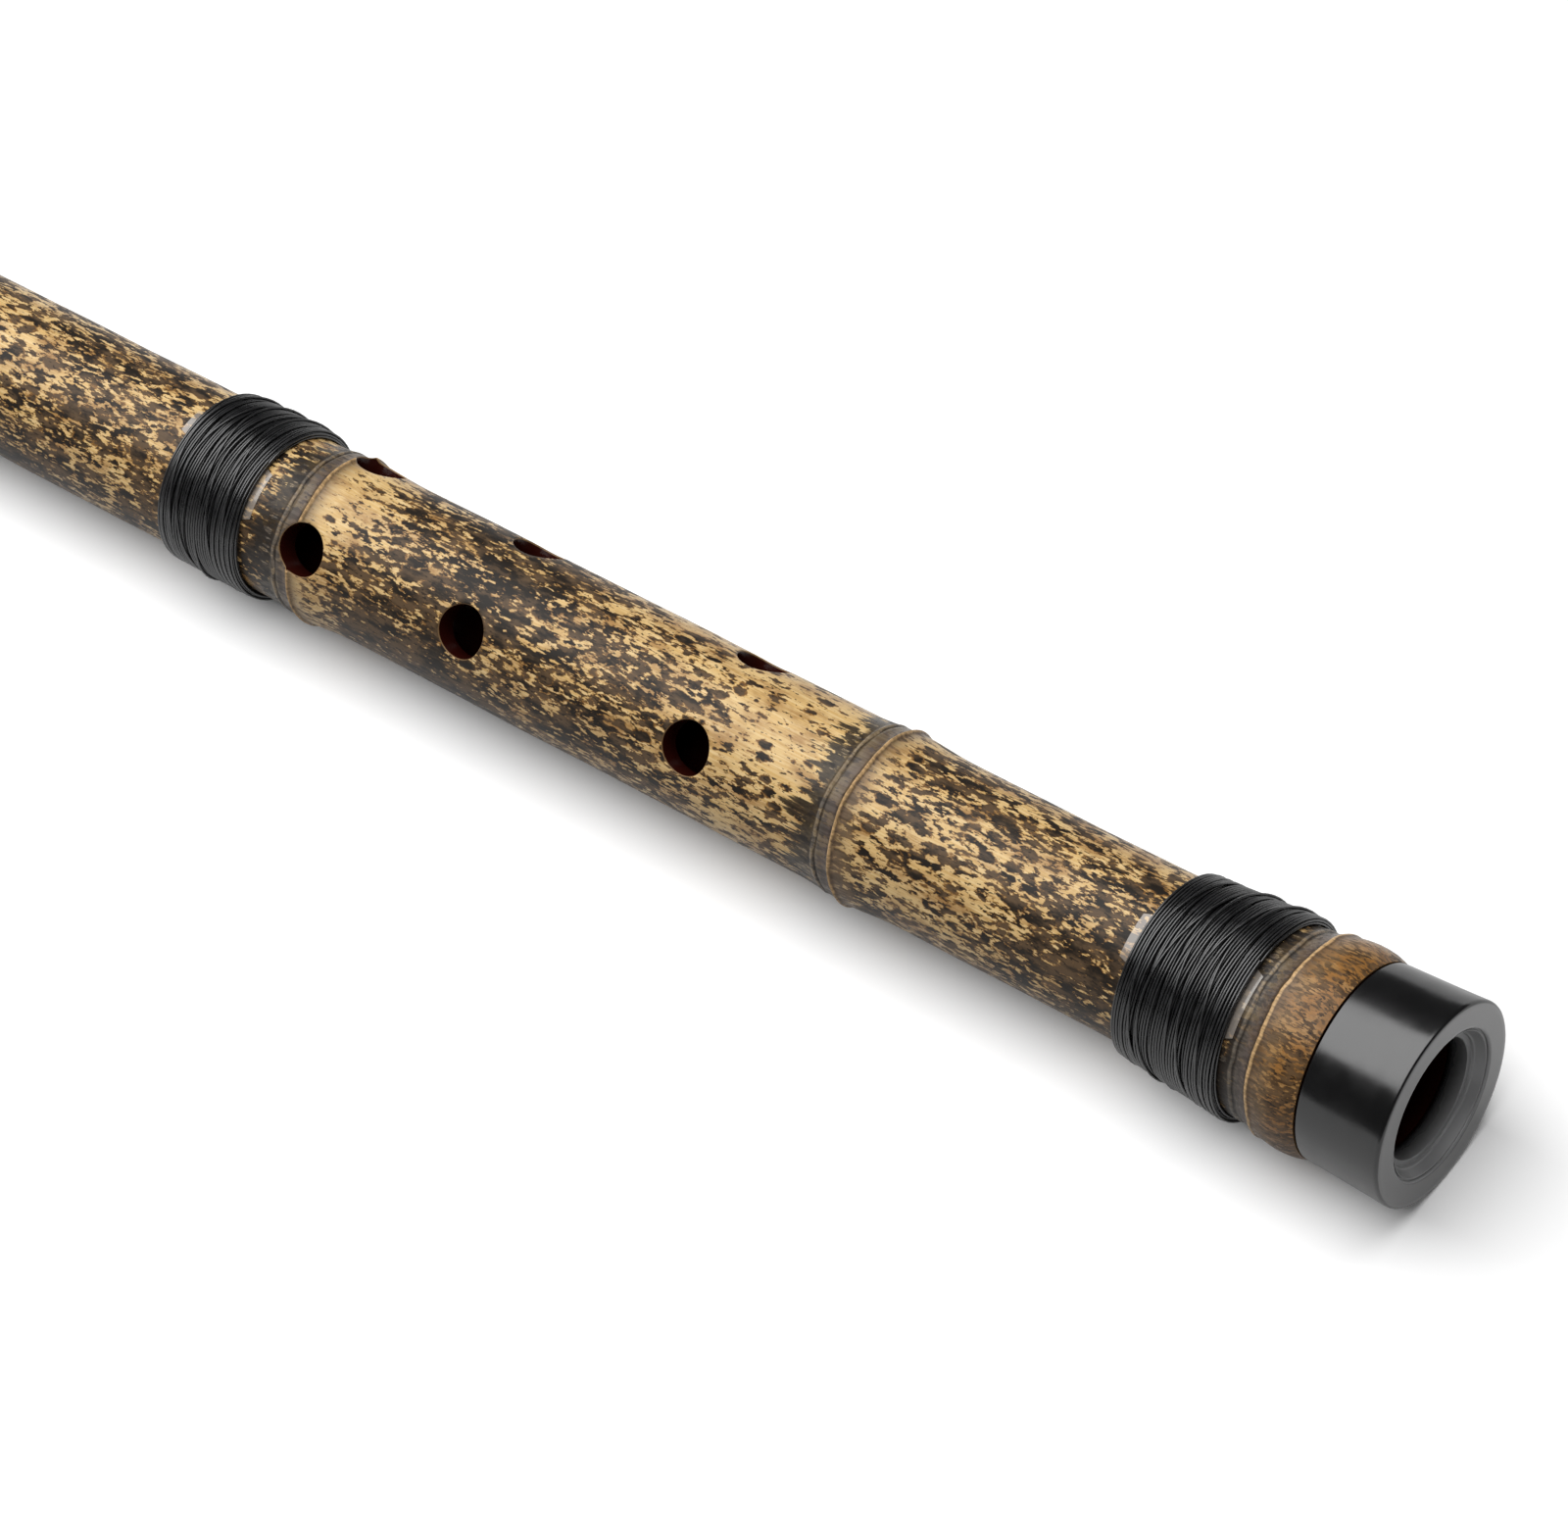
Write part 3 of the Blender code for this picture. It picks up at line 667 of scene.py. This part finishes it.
def lay_thread(span, stem, sizes, phase):
    """Lay one unbroken thread turn by turn on what lies under it, and return its points."""
    middle, lean = thread_plan(span, sizes)
    turns = len(middle) // sizes.points
    count = turns * sizes.points
    shape = (turns, sizes.points)
    steps = np.arange(count)
    angle = (2 * math.pi * steps / sizes.points).reshape(shape)
    drift = 0.00003 * np.sin(5 * angle + phase) + 0.00002 * np.sin(0.37 * angle + 2 * phase)
    drift -= crossings(steps, sizes.points, count, phase).reshape(shape)
    leaning = lean[:count].reshape(shape) * np.sin(angle - 0.2 - 0.3 * math.sin(phase))
    station = middle[:count].reshape(shape) + leaning + drift
    station = np.clip(station, span[0] + sizes.thread, span[1] - sizes.thread)
    radius = np.zeros_like(station)
    top = stem.radius(station, angle) + sizes.core + sizes.thread
    for turn in range(turns):
        level = top[turn].copy()
        if turn:
            beside = station[turn][None, :] - station[:turn]
            room = sizes.packing ** 2 - beside ** 2
            lifted = radius[:turn] + np.sqrt(np.maximum(room, 0.0)) * NESTING
            level = np.maximum(level, np.where(room > 0, lifted, 0.0).max(0))
        for _ in range(4):
            level = np.maximum(level, (np.roll(level, 1) + np.roll(level, -1)) / 2)
        radius[turn] = level
    flat = radius.ravel()
    for _ in range(2):
        flat[1:-1] = (flat[:-2] + 2 * flat[1:-1] + flat[2:]) / 4
    flat = np.minimum(flat, LARGEST_RADIUS - sizes.thread)
    return spatial(station.ravel(), angle.ravel(), flat)


def thread_piece(name, points, radius):
    """A tube of thread through the points, turned into a mesh."""
    curve = bpy.data.curves.new(name, "CURVE")
    curve.dimensions = "3D"
    curve.bevel_depth = radius
    curve.bevel_resolution = 1
    curve.use_fill_caps = True
    spline = curve.splines.new("POLY")
    spline.points.add(len(points) - 1)
    spline.points.foreach_set("co", np.column_stack([points, np.ones(len(points))]).ravel())
    thread = bpy.data.objects.new(name, curve)
    bpy.context.scene.collection.objects.link(thread)
    select_only(thread)
    bpy.ops.object.convert(target="MESH")
    thread = bpy.context.object
    thread.name = thread.data.name = name
    edit_all(thread)
    mend(1e-7)
    return thread


def make_binding(place, stem, sizes, segments, materials, phase):
    """One binding: clear film, hidden core and one unbroken thread."""
    start, end = span_of(f"{place}_binding_film")
    film_span = (start, end - FILM_DRAWN_IN)
    film = ring_between(f"{place}_film", film_span, FILM_LIFT, FILM_LIFT + sizes.film, stem,
                        segments, FILM_RINGS)
    start, end = span_of(f"{place}_binding_inner_turns")
    trim_film(film, film_span, (start + FILM_HIDDEN, end - FILM_HIDDEN),
              FILM_SHOWN.get(place, FILM_SHOWN_ELSEWHERE), stem)
    write_marks(film, stem)
    finish_piece(film, 40, materials["film"], "clear_film", f"{place}_binding_film")
    core = ring_between(f"{place}_core", (start + CORE_INSET, end - CORE_INSET),
                        sizes.film + CORE_LIFT, sizes.core, stem, CORE_SEGMENTS, CORE_RINGS)
    waxed = materials["thread"]
    finish_piece(core, 40, waxed, "black_thread", f"{place}_binding_inner_turns")
    points = lay_thread((start, end), stem, sizes, phase)
    thread = thread_piece(f"{place}_thread", points, sizes.thread)
    finish_piece(thread, 70, waxed, "black_thread", f"{place}_binding_outer_turns")


# Materials


def fill(tree, node, values):
    """Fill a node's sockets, each with a number, a colour or another node's socket."""
    for socket, value in values.items():
        if isinstance(value, bpy.types.NodeSocket):
            tree.links.new(value, node.inputs[socket])
        else:
            node.inputs[socket].default_value = value


def add(tree, kind, values=None, **fields):
    """Add a node, set its fields and fill its sockets."""
    made = tree.nodes.new(kind)
    count = len(tree.nodes)
    made.location = (count % 10 * 200 - 1900, 700 - count // 10 * 300)
    for name, value in fields.items():
        setattr(made, name, value)
    fill(tree, made, values or {})
    return made


def maths(tree, operation, first, second, clamp=False):
    """A number worked out from two others."""
    values = {0: first, 1: second}
    return add(tree, "ShaderNodeMath", values, operation=operation, use_clamp=clamp).outputs[0]


def shifted(tree, value, scale, offset=0.0):
    """A value times a scale plus an offset."""
    values = {0: value, 1: scale, 2: offset}
    return add(tree, "ShaderNodeMath", values, operation="MULTIPLY_ADD").outputs[0]


def between(tree, factor, first, second):
    """A number between two others, by a factor."""
    return add(tree, "ShaderNodeMix", {0: factor, 2: first, 3: second}).outputs[0]


def mixed(tree, factor, first, second, blend="MIX"):
    """Two colours mixed by a factor."""
    values = {0: factor, 6: first, 7: second}
    return add(tree, "ShaderNodeMix", values, data_type="RGBA", blend_type=blend).outputs[2]


def stepped(tree, value, low, high, start=0.0, end=1.0):
    """A smooth step between two values."""
    values = {"Value": value, "From Min": low, "From Max": high, "To Min": start, "To Max": end}
    return add(tree, "ShaderNodeMapRange", values, interpolation_type="SMOOTHSTEP").outputs[0]


def stretched(tree, where, scales):
    """Coordinates times a scale along each axis."""
    values = {0: where, 1: scales}
    return add(tree, "ShaderNodeVectorMath", values, operation="MULTIPLY").outputs[0]


def grained(tree, where, stretch, scale, detail=2.0, rough=0.5, distort=0.0):
    """Noise whose marks are long along the flute by one over the stretch."""
    made = add(tree, "ShaderNodeTexNoise", {
        "Vector": stretched(tree, where, (stretch, 1.0, 1.0)), "Scale": scale,
        "Detail": detail, "Roughness": rough, "Distortion": distort})
    return made.outputs["Fac"]


def value_of(tree, name):
    """A number kept at the vertices or the face corners."""
    return add(tree, "ShaderNodeAttribute", attribute_name=name).outputs["Fac"]


def object_place(tree):
    """The place on the object."""
    return add(tree, "ShaderNodeTexCoord").outputs["Object"]


def new_group(name, inputs, outputs):
    """An empty node group with these sockets, each a name and a kind."""
    group = bpy.data.node_groups.new(name, "ShaderNodeTree")
    for way, sockets in (("INPUT", inputs), ("OUTPUT", outputs)):
        for label, kind in sockets.items():
            group.interface.new_socket(name=label, in_out=way, socket_type=f"NodeSocket{kind}")
    return group


def gloss_group():
    """A shared effect: roughness that wanders between two values."""
    group = new_group("uneven_gloss", {"Vector": "Vector", "Scale": "Float", "Low": "Float",
                                       "High": "Float"}, {"Roughness": "Float"})
    given = add(group, "NodeGroupInput").outputs
    wander = add(group, "ShaderNodeTexNoise", {
        "Vector": given["Vector"], "Scale": given["Scale"], "Detail": 3.0}).outputs["Fac"]
    result = stepped(group, wander, 0.35, 0.65, given["Low"], given["High"])
    add(group, "NodeGroupOutput", {"Roughness": result})
    return group


def uneven_gloss(tree, group, scale, low, high):
    """The shared roughness in a material."""
    values = {"Vector": object_place(tree), "Scale": scale, "Low": low, "High": high}
    return add(tree, "ShaderNodeGroup", values, node_tree=group).outputs["Roughness"]


def blank(name):
    """A new material with only its Principled node and output, and its node tree."""
    material = bpy.data.materials.new(name)
    material.use_nodes = True
    return material, material.node_tree, material.node_tree.nodes["Principled BSDF"]


def bamboo_ground(tree, where, finish):
    """Straw colour with fine fibres and warm patches, turning orange brown at the root."""
    fibre = grained(tree, where, 0.03, 4200.0, 2.0, 0.6)
    ground = mixed(tree, stepped(tree, fibre, 0.35, 0.7), finish.straw[:], finish.pale[:])
    tone = grained(tree, where, 0.4, 330.0, 4.0, 0.6)
    warm = shifted(tree, value_of(tree, "root"), 0.8)
    warm = maths(tree, "ADD", warm, stepped(tree, tone, 0.42, 0.72, 0.0, 0.8), True)
    brown = mixed(tree, stepped(tree, fibre, 0.38, 0.62), finish.rim[:], finish.root[:])
    return mixed(tree, warm, ground, brown)


def oval_spots(tree, where, dense):
    """How far a place is inside one of the ragged oval spots that stand apart."""
    place = stretched(tree, where, (0.5, 1.0, 1.0))
    bend = add(tree, "ShaderNodeTexNoise", {"Vector": place, "Scale": 1500.0, "Detail": 4.0})
    bent = add(tree, "ShaderNodeVectorMath", {
        0: bend.outputs["Color"], 1: (0.0011, 0.0011, 0.0011), 2: place}, operation="MULTIPLY_ADD")
    cells = add(tree, "ShaderNodeTexVoronoi", {"Vector": bent.outputs[0], "Scale": 560.0}).outputs
    size = maths(tree, "ADD", shifted(tree, cells["Color"], 0.9, -0.26),
                 stepped(tree, dense, 0.08, 0.40, -0.25, 0.03))
    size = maths(tree, "SUBTRACT", size, shifted(tree, value_of(tree, "root"), 0.16))
    return shifted(tree, maths(tree, "SUBTRACT", size, cells["Distance"]), 0.3)


def mottling(tree, where, finish):
    """Colour of the bamboo away from its nodes, and where it is dark."""
    dense = value_of(tree, "mottle")
    spots = grained(tree, where, 0.42, 900.0, 4.0, 0.58, 0.1)
    flecks = grained(tree, where, 0.32, 2000.0, 4.0, 0.60, 0.1)
    cloud = grained(tree, where, 0.6, 150.0, 2.0, 0.5)
    root = value_of(tree, "root")
    share = maths(tree, "MAXIMUM", stepped(tree, dense, 0.3, 0.75, 0.25, 0.6), root)
    level = shifted(tree, cloud, -0.16, 0.08)
    level = maths(tree, "ADD", shifted(tree, dense, -0.30, 0.655), level)
    over = maths(tree, "SUBTRACT", between(tree, share, spots, flecks), level)
    over = maths(tree, "MAXIMUM", over, oval_spots(tree, where, dense))
    core = grained(tree, where, 0.35, 520.0, 4.0, 0.6)
    core = mixed(tree, stepped(tree, core, 0.40, 0.62), finish.dark[:], finish.grey[:])
    core = mixed(tree, shifted(tree, root, 0.24), core, finish.rim[:])
    ground = bamboo_ground(tree, where, finish)
    rimmed = mixed(tree, stepped(tree, over, -0.016, 0.006), ground, finish.rim[:])
    marked = stepped(tree, over, 0.0, 0.028)
    fine = grained(tree, where, 0.33, 2600.0, 2.0, 0.5)
    fine = maths(tree, "ADD", fine, shifted(tree, dense, 0.08, -0.66))
    speckled = stepped(tree, fine, 0.0, 0.03, 0.0, 0.85)
    return mixed(tree, speckled, mixed(tree, marked, rimmed, core), finish.dark[:]), marked


# Bands of a node: offset from its ridge in mm, colour, and cover. "tan" is the ridge's colour.
BAND_COLOURS = {"dark": (0.019, 0.015, 0.012), "grey": (0.075, 0.064, 0.054),
                # "pale" is the lip's lighter line, greyed to paint the highlight that the lip
                # catches
                "pale": (0.13, 0.112, 0.092), "dusk": (0.07, 0.054, 0.047),
                "brown": (0.10, 0.065, 0.04), "warm": (0.16, 0.11, 0.065)}
BANDS = ((-7.8, "dark", 0.0), (-7.0, "dark", 0.9), (-5.0, "dark", 0.97), (-3.5, "dark", 0.92),
         # The two "pale" stops at the lip: a lighter line with a painted highlight in its grey
         (-3.25, "pale", 0.75), (-3.0, "pale", 0.75), (-2.85, "dark", 0.95), (-2.4, "grey", 0.85),
         (-0.9, "dusk", 0.9), (-0.36, "dark", 0.9), (-0.22, "tan", 1.0), (0.14, "tan", 1.0),
         (0.32, "brown", 0.85), (1.8, "warm", 0.4), (4.0, "tan", 0.0))
BANDS_START, BANDS_END = -10.0, 8.0


def node_marks(tree, where, colour, finish):
    """The bands of a node laid over the mottling."""
    near = value_of(tree, "from_ridge")
    wobble = shifted(tree, grained(tree, where, 1.0, 300.0, 3.0), 0.9, -0.45)
    streak = grained(tree, where, 0.10, 1300.0, 4.0, 0.65)
    outside = stepped(tree, shifted(tree, near, -1.0), 3.5, 4.9)
    ragged = maths(tree, "MULTIPLY", shifted(tree, streak, 16.0, -8.0), outside)
    away = maths(tree, "ADD", maths(tree, "ADD", near, wobble), ragged)
    position = add(tree, "ShaderNodeMapRange", {
        "Value": away, "From Min": BANDS_START, "From Max": BANDS_END}).outputs[0]
    colours = {**BAND_COLOURS, "tan": finish.ridge[:3]}
    bands = add(tree, "ShaderNodeValToRGB", {0: position})
    stops = bands.color_ramp.elements
    while len(stops) < len(BANDS):
        stops.new(0.5)
    for stop, (offset, name, cover) in zip(stops, BANDS):
        stop.position = (offset - BANDS_START) / (BANDS_END - BANDS_START)
        stop.color = (*colours[name], cover)
    broken = stepped(tree, grained(tree, where, 0.4, 620.0, 4.0, 0.6), 0.40, 0.44)
    broken = maths(tree, "MAXIMUM", broken, shifted(tree, outside, -0.9, 0.97))
    ticks = stepped(tree, grained(tree, where, 0.02, 2400.0, 1.0), 0.42, 0.58, 0.78, 1.22)
    banded = mixed(tree, 1.0, bands.outputs["Color"], ticks, "MULTIPLY")
    cover = maths(tree, "MULTIPLY", bands.outputs["Alpha"], broken)
    return mixed(tree, cover, colour, banded)


def marks_group(finish):
    """A shared effect: the bamboo's colour with all its marks, and where it is dark."""
    group = new_group("bamboo_marks", {"Vector": "Vector"}, {"Color": "Color", "Marked": "Float"})
    where = add(group, "NodeGroupInput").outputs["Vector"]
    colour, marked = mottling(group, where, finish)
    colour = node_marks(group, where, colour, finish)
    add(group, "NodeGroupOutput", {"Color": colour, "Marked": marked})
    return group


def bamboo_marks(tree, finish):
    """The shared marks in a material."""
    group = bpy.data.node_groups.get("bamboo_marks") or marks_group(finish)
    return add(tree, "ShaderNodeGroup", {"Vector": object_place(tree)}, node_tree=group).outputs


def dress_bamboo(tree, shader, finish, gloss):
    """Lacquered, mottled bamboo, bare at the rims of the holes and lacquered red inside."""
    where = object_place(tree)
    marks = bamboo_marks(tree, finish)
    depth = value_of(tree, "depth")
    inside = stepped(tree, depth, 0.18, 0.30)
    colour = mixed(tree, stepped(tree, depth, 0.02, 0.10), marks["Color"], finish.wall[:])
    polish = uneven_gloss(tree, gloss, 160.0, 0.24, 0.34)
    rough = between(tree, marks["Marked"], polish, 0.46)
    streaks = grained(tree, where, 0.04, 3600.0, 3.0, 0.6)
    height = shifted(tree, streaks, 0.6, grained(tree, where, 0.4, 900.0, 2.0, 0.5))
    bump = add(tree, "ShaderNodeBump", {"Strength": 0.35, "Distance": 0.00008, "Height": height})
    fill(tree, shader, {
        "Base Color": mixed(tree, inside, colour, finish.lining[:]), "Normal": bump.outputs[0],
        "Roughness": between(tree, inside, rough, 0.14), "Specular IOR Level": 0.22})


def dress_horn(tree, shader, finish, gloss):
    """Polished black horn, dull where the mouth was turned and softly glossed on the end faces."""
    machined = value_of(tree, "machined")
    polish = uneven_gloss(tree, gloss, 220.0, 0.19, 0.25)
    fine = add(tree, "ShaderNodeTexNoise", {
        "Vector": object_place(tree), "Scale": 2500.0, "Detail": 3.0}).outputs["Fac"]
    bump = add(tree, "ShaderNodeBump", {"Strength": 0.06, "Distance": 0.00004, "Height": fine})
    fill(tree, shader, {
        "Base Color": mixed(tree, machined, finish.horn[:], finish.machined[:]),
        "Roughness": between(tree, machined, polish, 0.36), "Specular IOR Level": 0.8,
        "Coat Weight": value_of(tree, "faced"), "Coat Roughness": 0.3,
        "Normal": bump.outputs[0]})


def dress_thread(tree, shader, finish, gloss):
    """Waxed black thread."""
    fill(tree, shader, {"Base Color": finish.thread[:], "Specular IOR Level": 0.95,
                        "Roughness": uneven_gloss(tree, gloss, 500.0, 0.26, 0.38)})


def dress_film_painted_sheen(tree, shader, finish, gloss):
    """Thin clear film: the bamboo's marks under it, faintly greyed as a painted softbox reflection.
    """
    marks = bamboo_marks(tree, finish)
    # Mixing in 35 % of the pale grey paints the softbox's reflection on the film
    fill(tree, shader, {"Base Color": mixed(tree, 0.35, marks["Color"], finish.film[:]),
                        "Roughness": uneven_gloss(tree, gloss, 200.0, 0.10, 0.15),
                        "Specular IOR Level": 0.7})


LOOKS = {"bamboo": ("mottled_bamboo_look", dress_bamboo), "horn": ("black_horn_look", dress_horn),
         "thread": ("black_thread_look", dress_thread), "film": ("clear_film_look", dress_film_painted_sheen)}


def make_materials(finish):
    """The four finishes, each made once."""
    gloss = bpy.data.node_groups.get("uneven_gloss") or gloss_group()
    made = {}
    for name, (label, dress) in LOOKS.items():
        made[name] = bpy.data.materials.get(label)
        if not made[name]:
            made[name], tree, shader = blank(label)
            dress(tree, shader, finish, gloss)
    return made


# Studio


def grey(level):
    """A grey as a colour with its alpha."""
    return (level, level, level, 1.0)


FLOOR_DROP = 0.0001
# The floor's grey: to rays that light the flute, to those that mirror it, and to the camera
FLOOR_LIT, FLOOR_MIRRORED, FLOOR_SEEN = 0.40, 0.55, 0.88
# Distance from the flute over which the floor grows white
WHITE_START, WHITE_END = 0.29, 0.85


def make_floor(studio):
    """A plain pale floor that the camera sees as white, apart from the shadow."""
    bpy.ops.mesh.primitive_plane_add(size=studio.floor_size, location=(0.0, 0.0, -FLOOR_DROP))
    floor = bpy.context.object
    floor.name = "floor"
    material, tree, shader = blank("floor_look")
    rays = add(tree, "ShaderNodeLightPath").outputs
    seen = maths(tree, "MAXIMUM", rays["Is Glossy Ray"], rays["Is Transmission Ray"])
    seen = maths(tree, "MAXIMUM", rays["Is Camera Ray"], seen)
    white = mixed(tree, rays["Is Camera Ray"], grey(FLOOR_MIRRORED), grey(FLOOR_SEEN))
    place = stretched(tree, object_place(tree), (0.6, 1.0, 1.0))
    away = add(tree, "ShaderNodeVectorMath", {0: place}, operation="LENGTH").outputs["Value"]
    level = stepped(tree, away, WHITE_START, WHITE_END, studio.floor_white, 1.0)
    fill(tree, shader, {
        "Base Color": mixed(tree, seen, grey(FLOOR_LIT), white), "Roughness": 0.9,
        "Specular IOR Level": 0.0, "Emission Color": grey(1.0),
        "Emission Strength": maths(tree, "MULTIPLY", seen, level)})
    floor.data.materials.append(material)


def make_lamp(studio):
    """One large softbox overhead."""
    bpy.ops.object.light_add(type="AREA", location=studio.lamp_place[:])
    lamp = bpy.context.object
    lamp.name = "softbox"
    lamp.data.shape = "RECTANGLE"
    lamp.data.size, lamp.data.size_y = studio.lamp_size[:]
    lamp.data.energy = studio.lamp_power


def make_world(studio):
    """Dim, even surroundings."""
    world = bpy.data.worlds.new("surroundings")
    bpy.context.scene.world = world
    world.use_nodes = True
    fill(world.node_tree, world.node_tree.nodes["Background"],
         {"Color": grey(1.0), "Strength": studio.surroundings})


def make_camera(studio):
    """The camera at the photo's angle."""
    way = Vector(studio.camera_way[:]).normalized()
    target = Vector((studio.camera_target + HEAD_X, 0.0, AXIS_HEIGHT))
    bpy.ops.object.camera_add(location=target + way * studio.camera_distance)
    camera = bpy.context.object
    camera.rotation_mode = "QUATERNION"
    roll = Quaternion((0, 0, 1), studio.camera_roll)
    camera.rotation_quaternion = (-way).to_track_quat("-Z", "Y") @ roll
    camera.data.lens = studio.camera_lens
    camera.data.sensor_width = 36.0
    camera.data.clip_start = 0.01
    camera.data.dof.use_dof = False
    bpy.context.scene.camera = camera
    bpy.context.scene.view_settings.view_transform = "Standard"


# Operators


class FLUTE_OT_stem(bpy.types.Operator):
    """Make the bamboo stem"""

    bl_idname = "flute.stem"
    bl_label = "Bamboo stem"

    def execute(self, context):
        stem_sizes, _, finish, _ = settings(context)
        make_stem(stem_sizes, make_materials(finish)["bamboo"])
        return {"FINISHED"}


class FLUTE_OT_caps(bpy.types.Operator):
    """Make the horn ring on the foot and the cap on the blowing end"""

    bl_idname = "flute.caps"
    bl_label = "Horn caps"

    def execute(self, context):
        stem_sizes, _, finish, _ = settings(context)
        horn = make_materials(finish)["horn"]
        make_foot_ring(stem_sizes, horn)
        make_blowing_cap(stem_sizes, horn)
        return {"FINISHED"}


class FLUTE_OT_bindings(bpy.types.Operator):
    """Make the five bindings, each of film, core and thread"""

    bl_idname = "flute.bindings"
    bl_label = "Bindings"

    def execute(self, context):
        stem_sizes, binding_sizes, finish, _ = settings(context)
        materials = make_materials(finish)
        stem = Stem(stem_sizes)
        for number, place in enumerate(PLACES):
            make_binding(
                place, stem, binding_sizes, stem_sizes.segments, materials, 1.3 * number)
        return {"FINISHED"}


class FLUTE_OT_studio(bpy.types.Operator):
    """Make the floor, the softbox, the surroundings and the camera"""

    bl_idname = "flute.studio"
    bl_label = "Studio"

    def execute(self, context):
        studio = settings(context)[3]
        make_floor(studio)
        make_lamp(studio)
        make_world(studio)
        make_camera(studio)
        return {"FINISHED"}


class FLUTE_PT_panel(bpy.types.Panel):
    """Buttons and settings of the flute's looks"""

    bl_idname = "FLUTE_PT_panel"
    bl_label = "Bamboo flute"
    bl_space_type = "VIEW_3D"
    bl_region_type = "UI"
    bl_category = "Flute"

    def draw(self, context):
        layout = self.layout
        for operator in OPERATORS:
            layout.operator(operator.bl_idname)
        for group in settings(context):
            box = layout.box()
            for name in group.__annotations__:
                box.prop(group, name)


OPERATORS = (FLUTE_OT_stem, FLUTE_OT_caps, FLUTE_OT_bindings, FLUTE_OT_studio)
GROUPS = {"flute_stem": StemSizes, "flute_binding": BindingSizes, "flute_finish": Finish,
          "flute_studio": StudioSizes}
CLASSES = (*GROUPS.values(), *OPERATORS, FLUTE_PT_panel)


def register():
    """Register the settings, the operators and the panel."""
    for made in CLASSES:
        bpy.utils.register_class(made)
    for name, group in GROUPS.items():
        setattr(bpy.types.Scene, name, bpy.props.PointerProperty(type=group))


def unregister():
    """Take the panel, the operators and the settings away again."""
    for name in GROUPS:
        delattr(bpy.types.Scene, name)
    for made in reversed(CLASSES):
        bpy.utils.unregister_class(made)


def main():
    """Make every piece and the studio."""
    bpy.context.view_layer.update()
    register()
    bpy.ops.flute.stem()
    bpy.ops.flute.caps()
    bpy.ops.flute.bindings()
    bpy.ops.flute.studio()


if __name__ == "__main__":
    main()
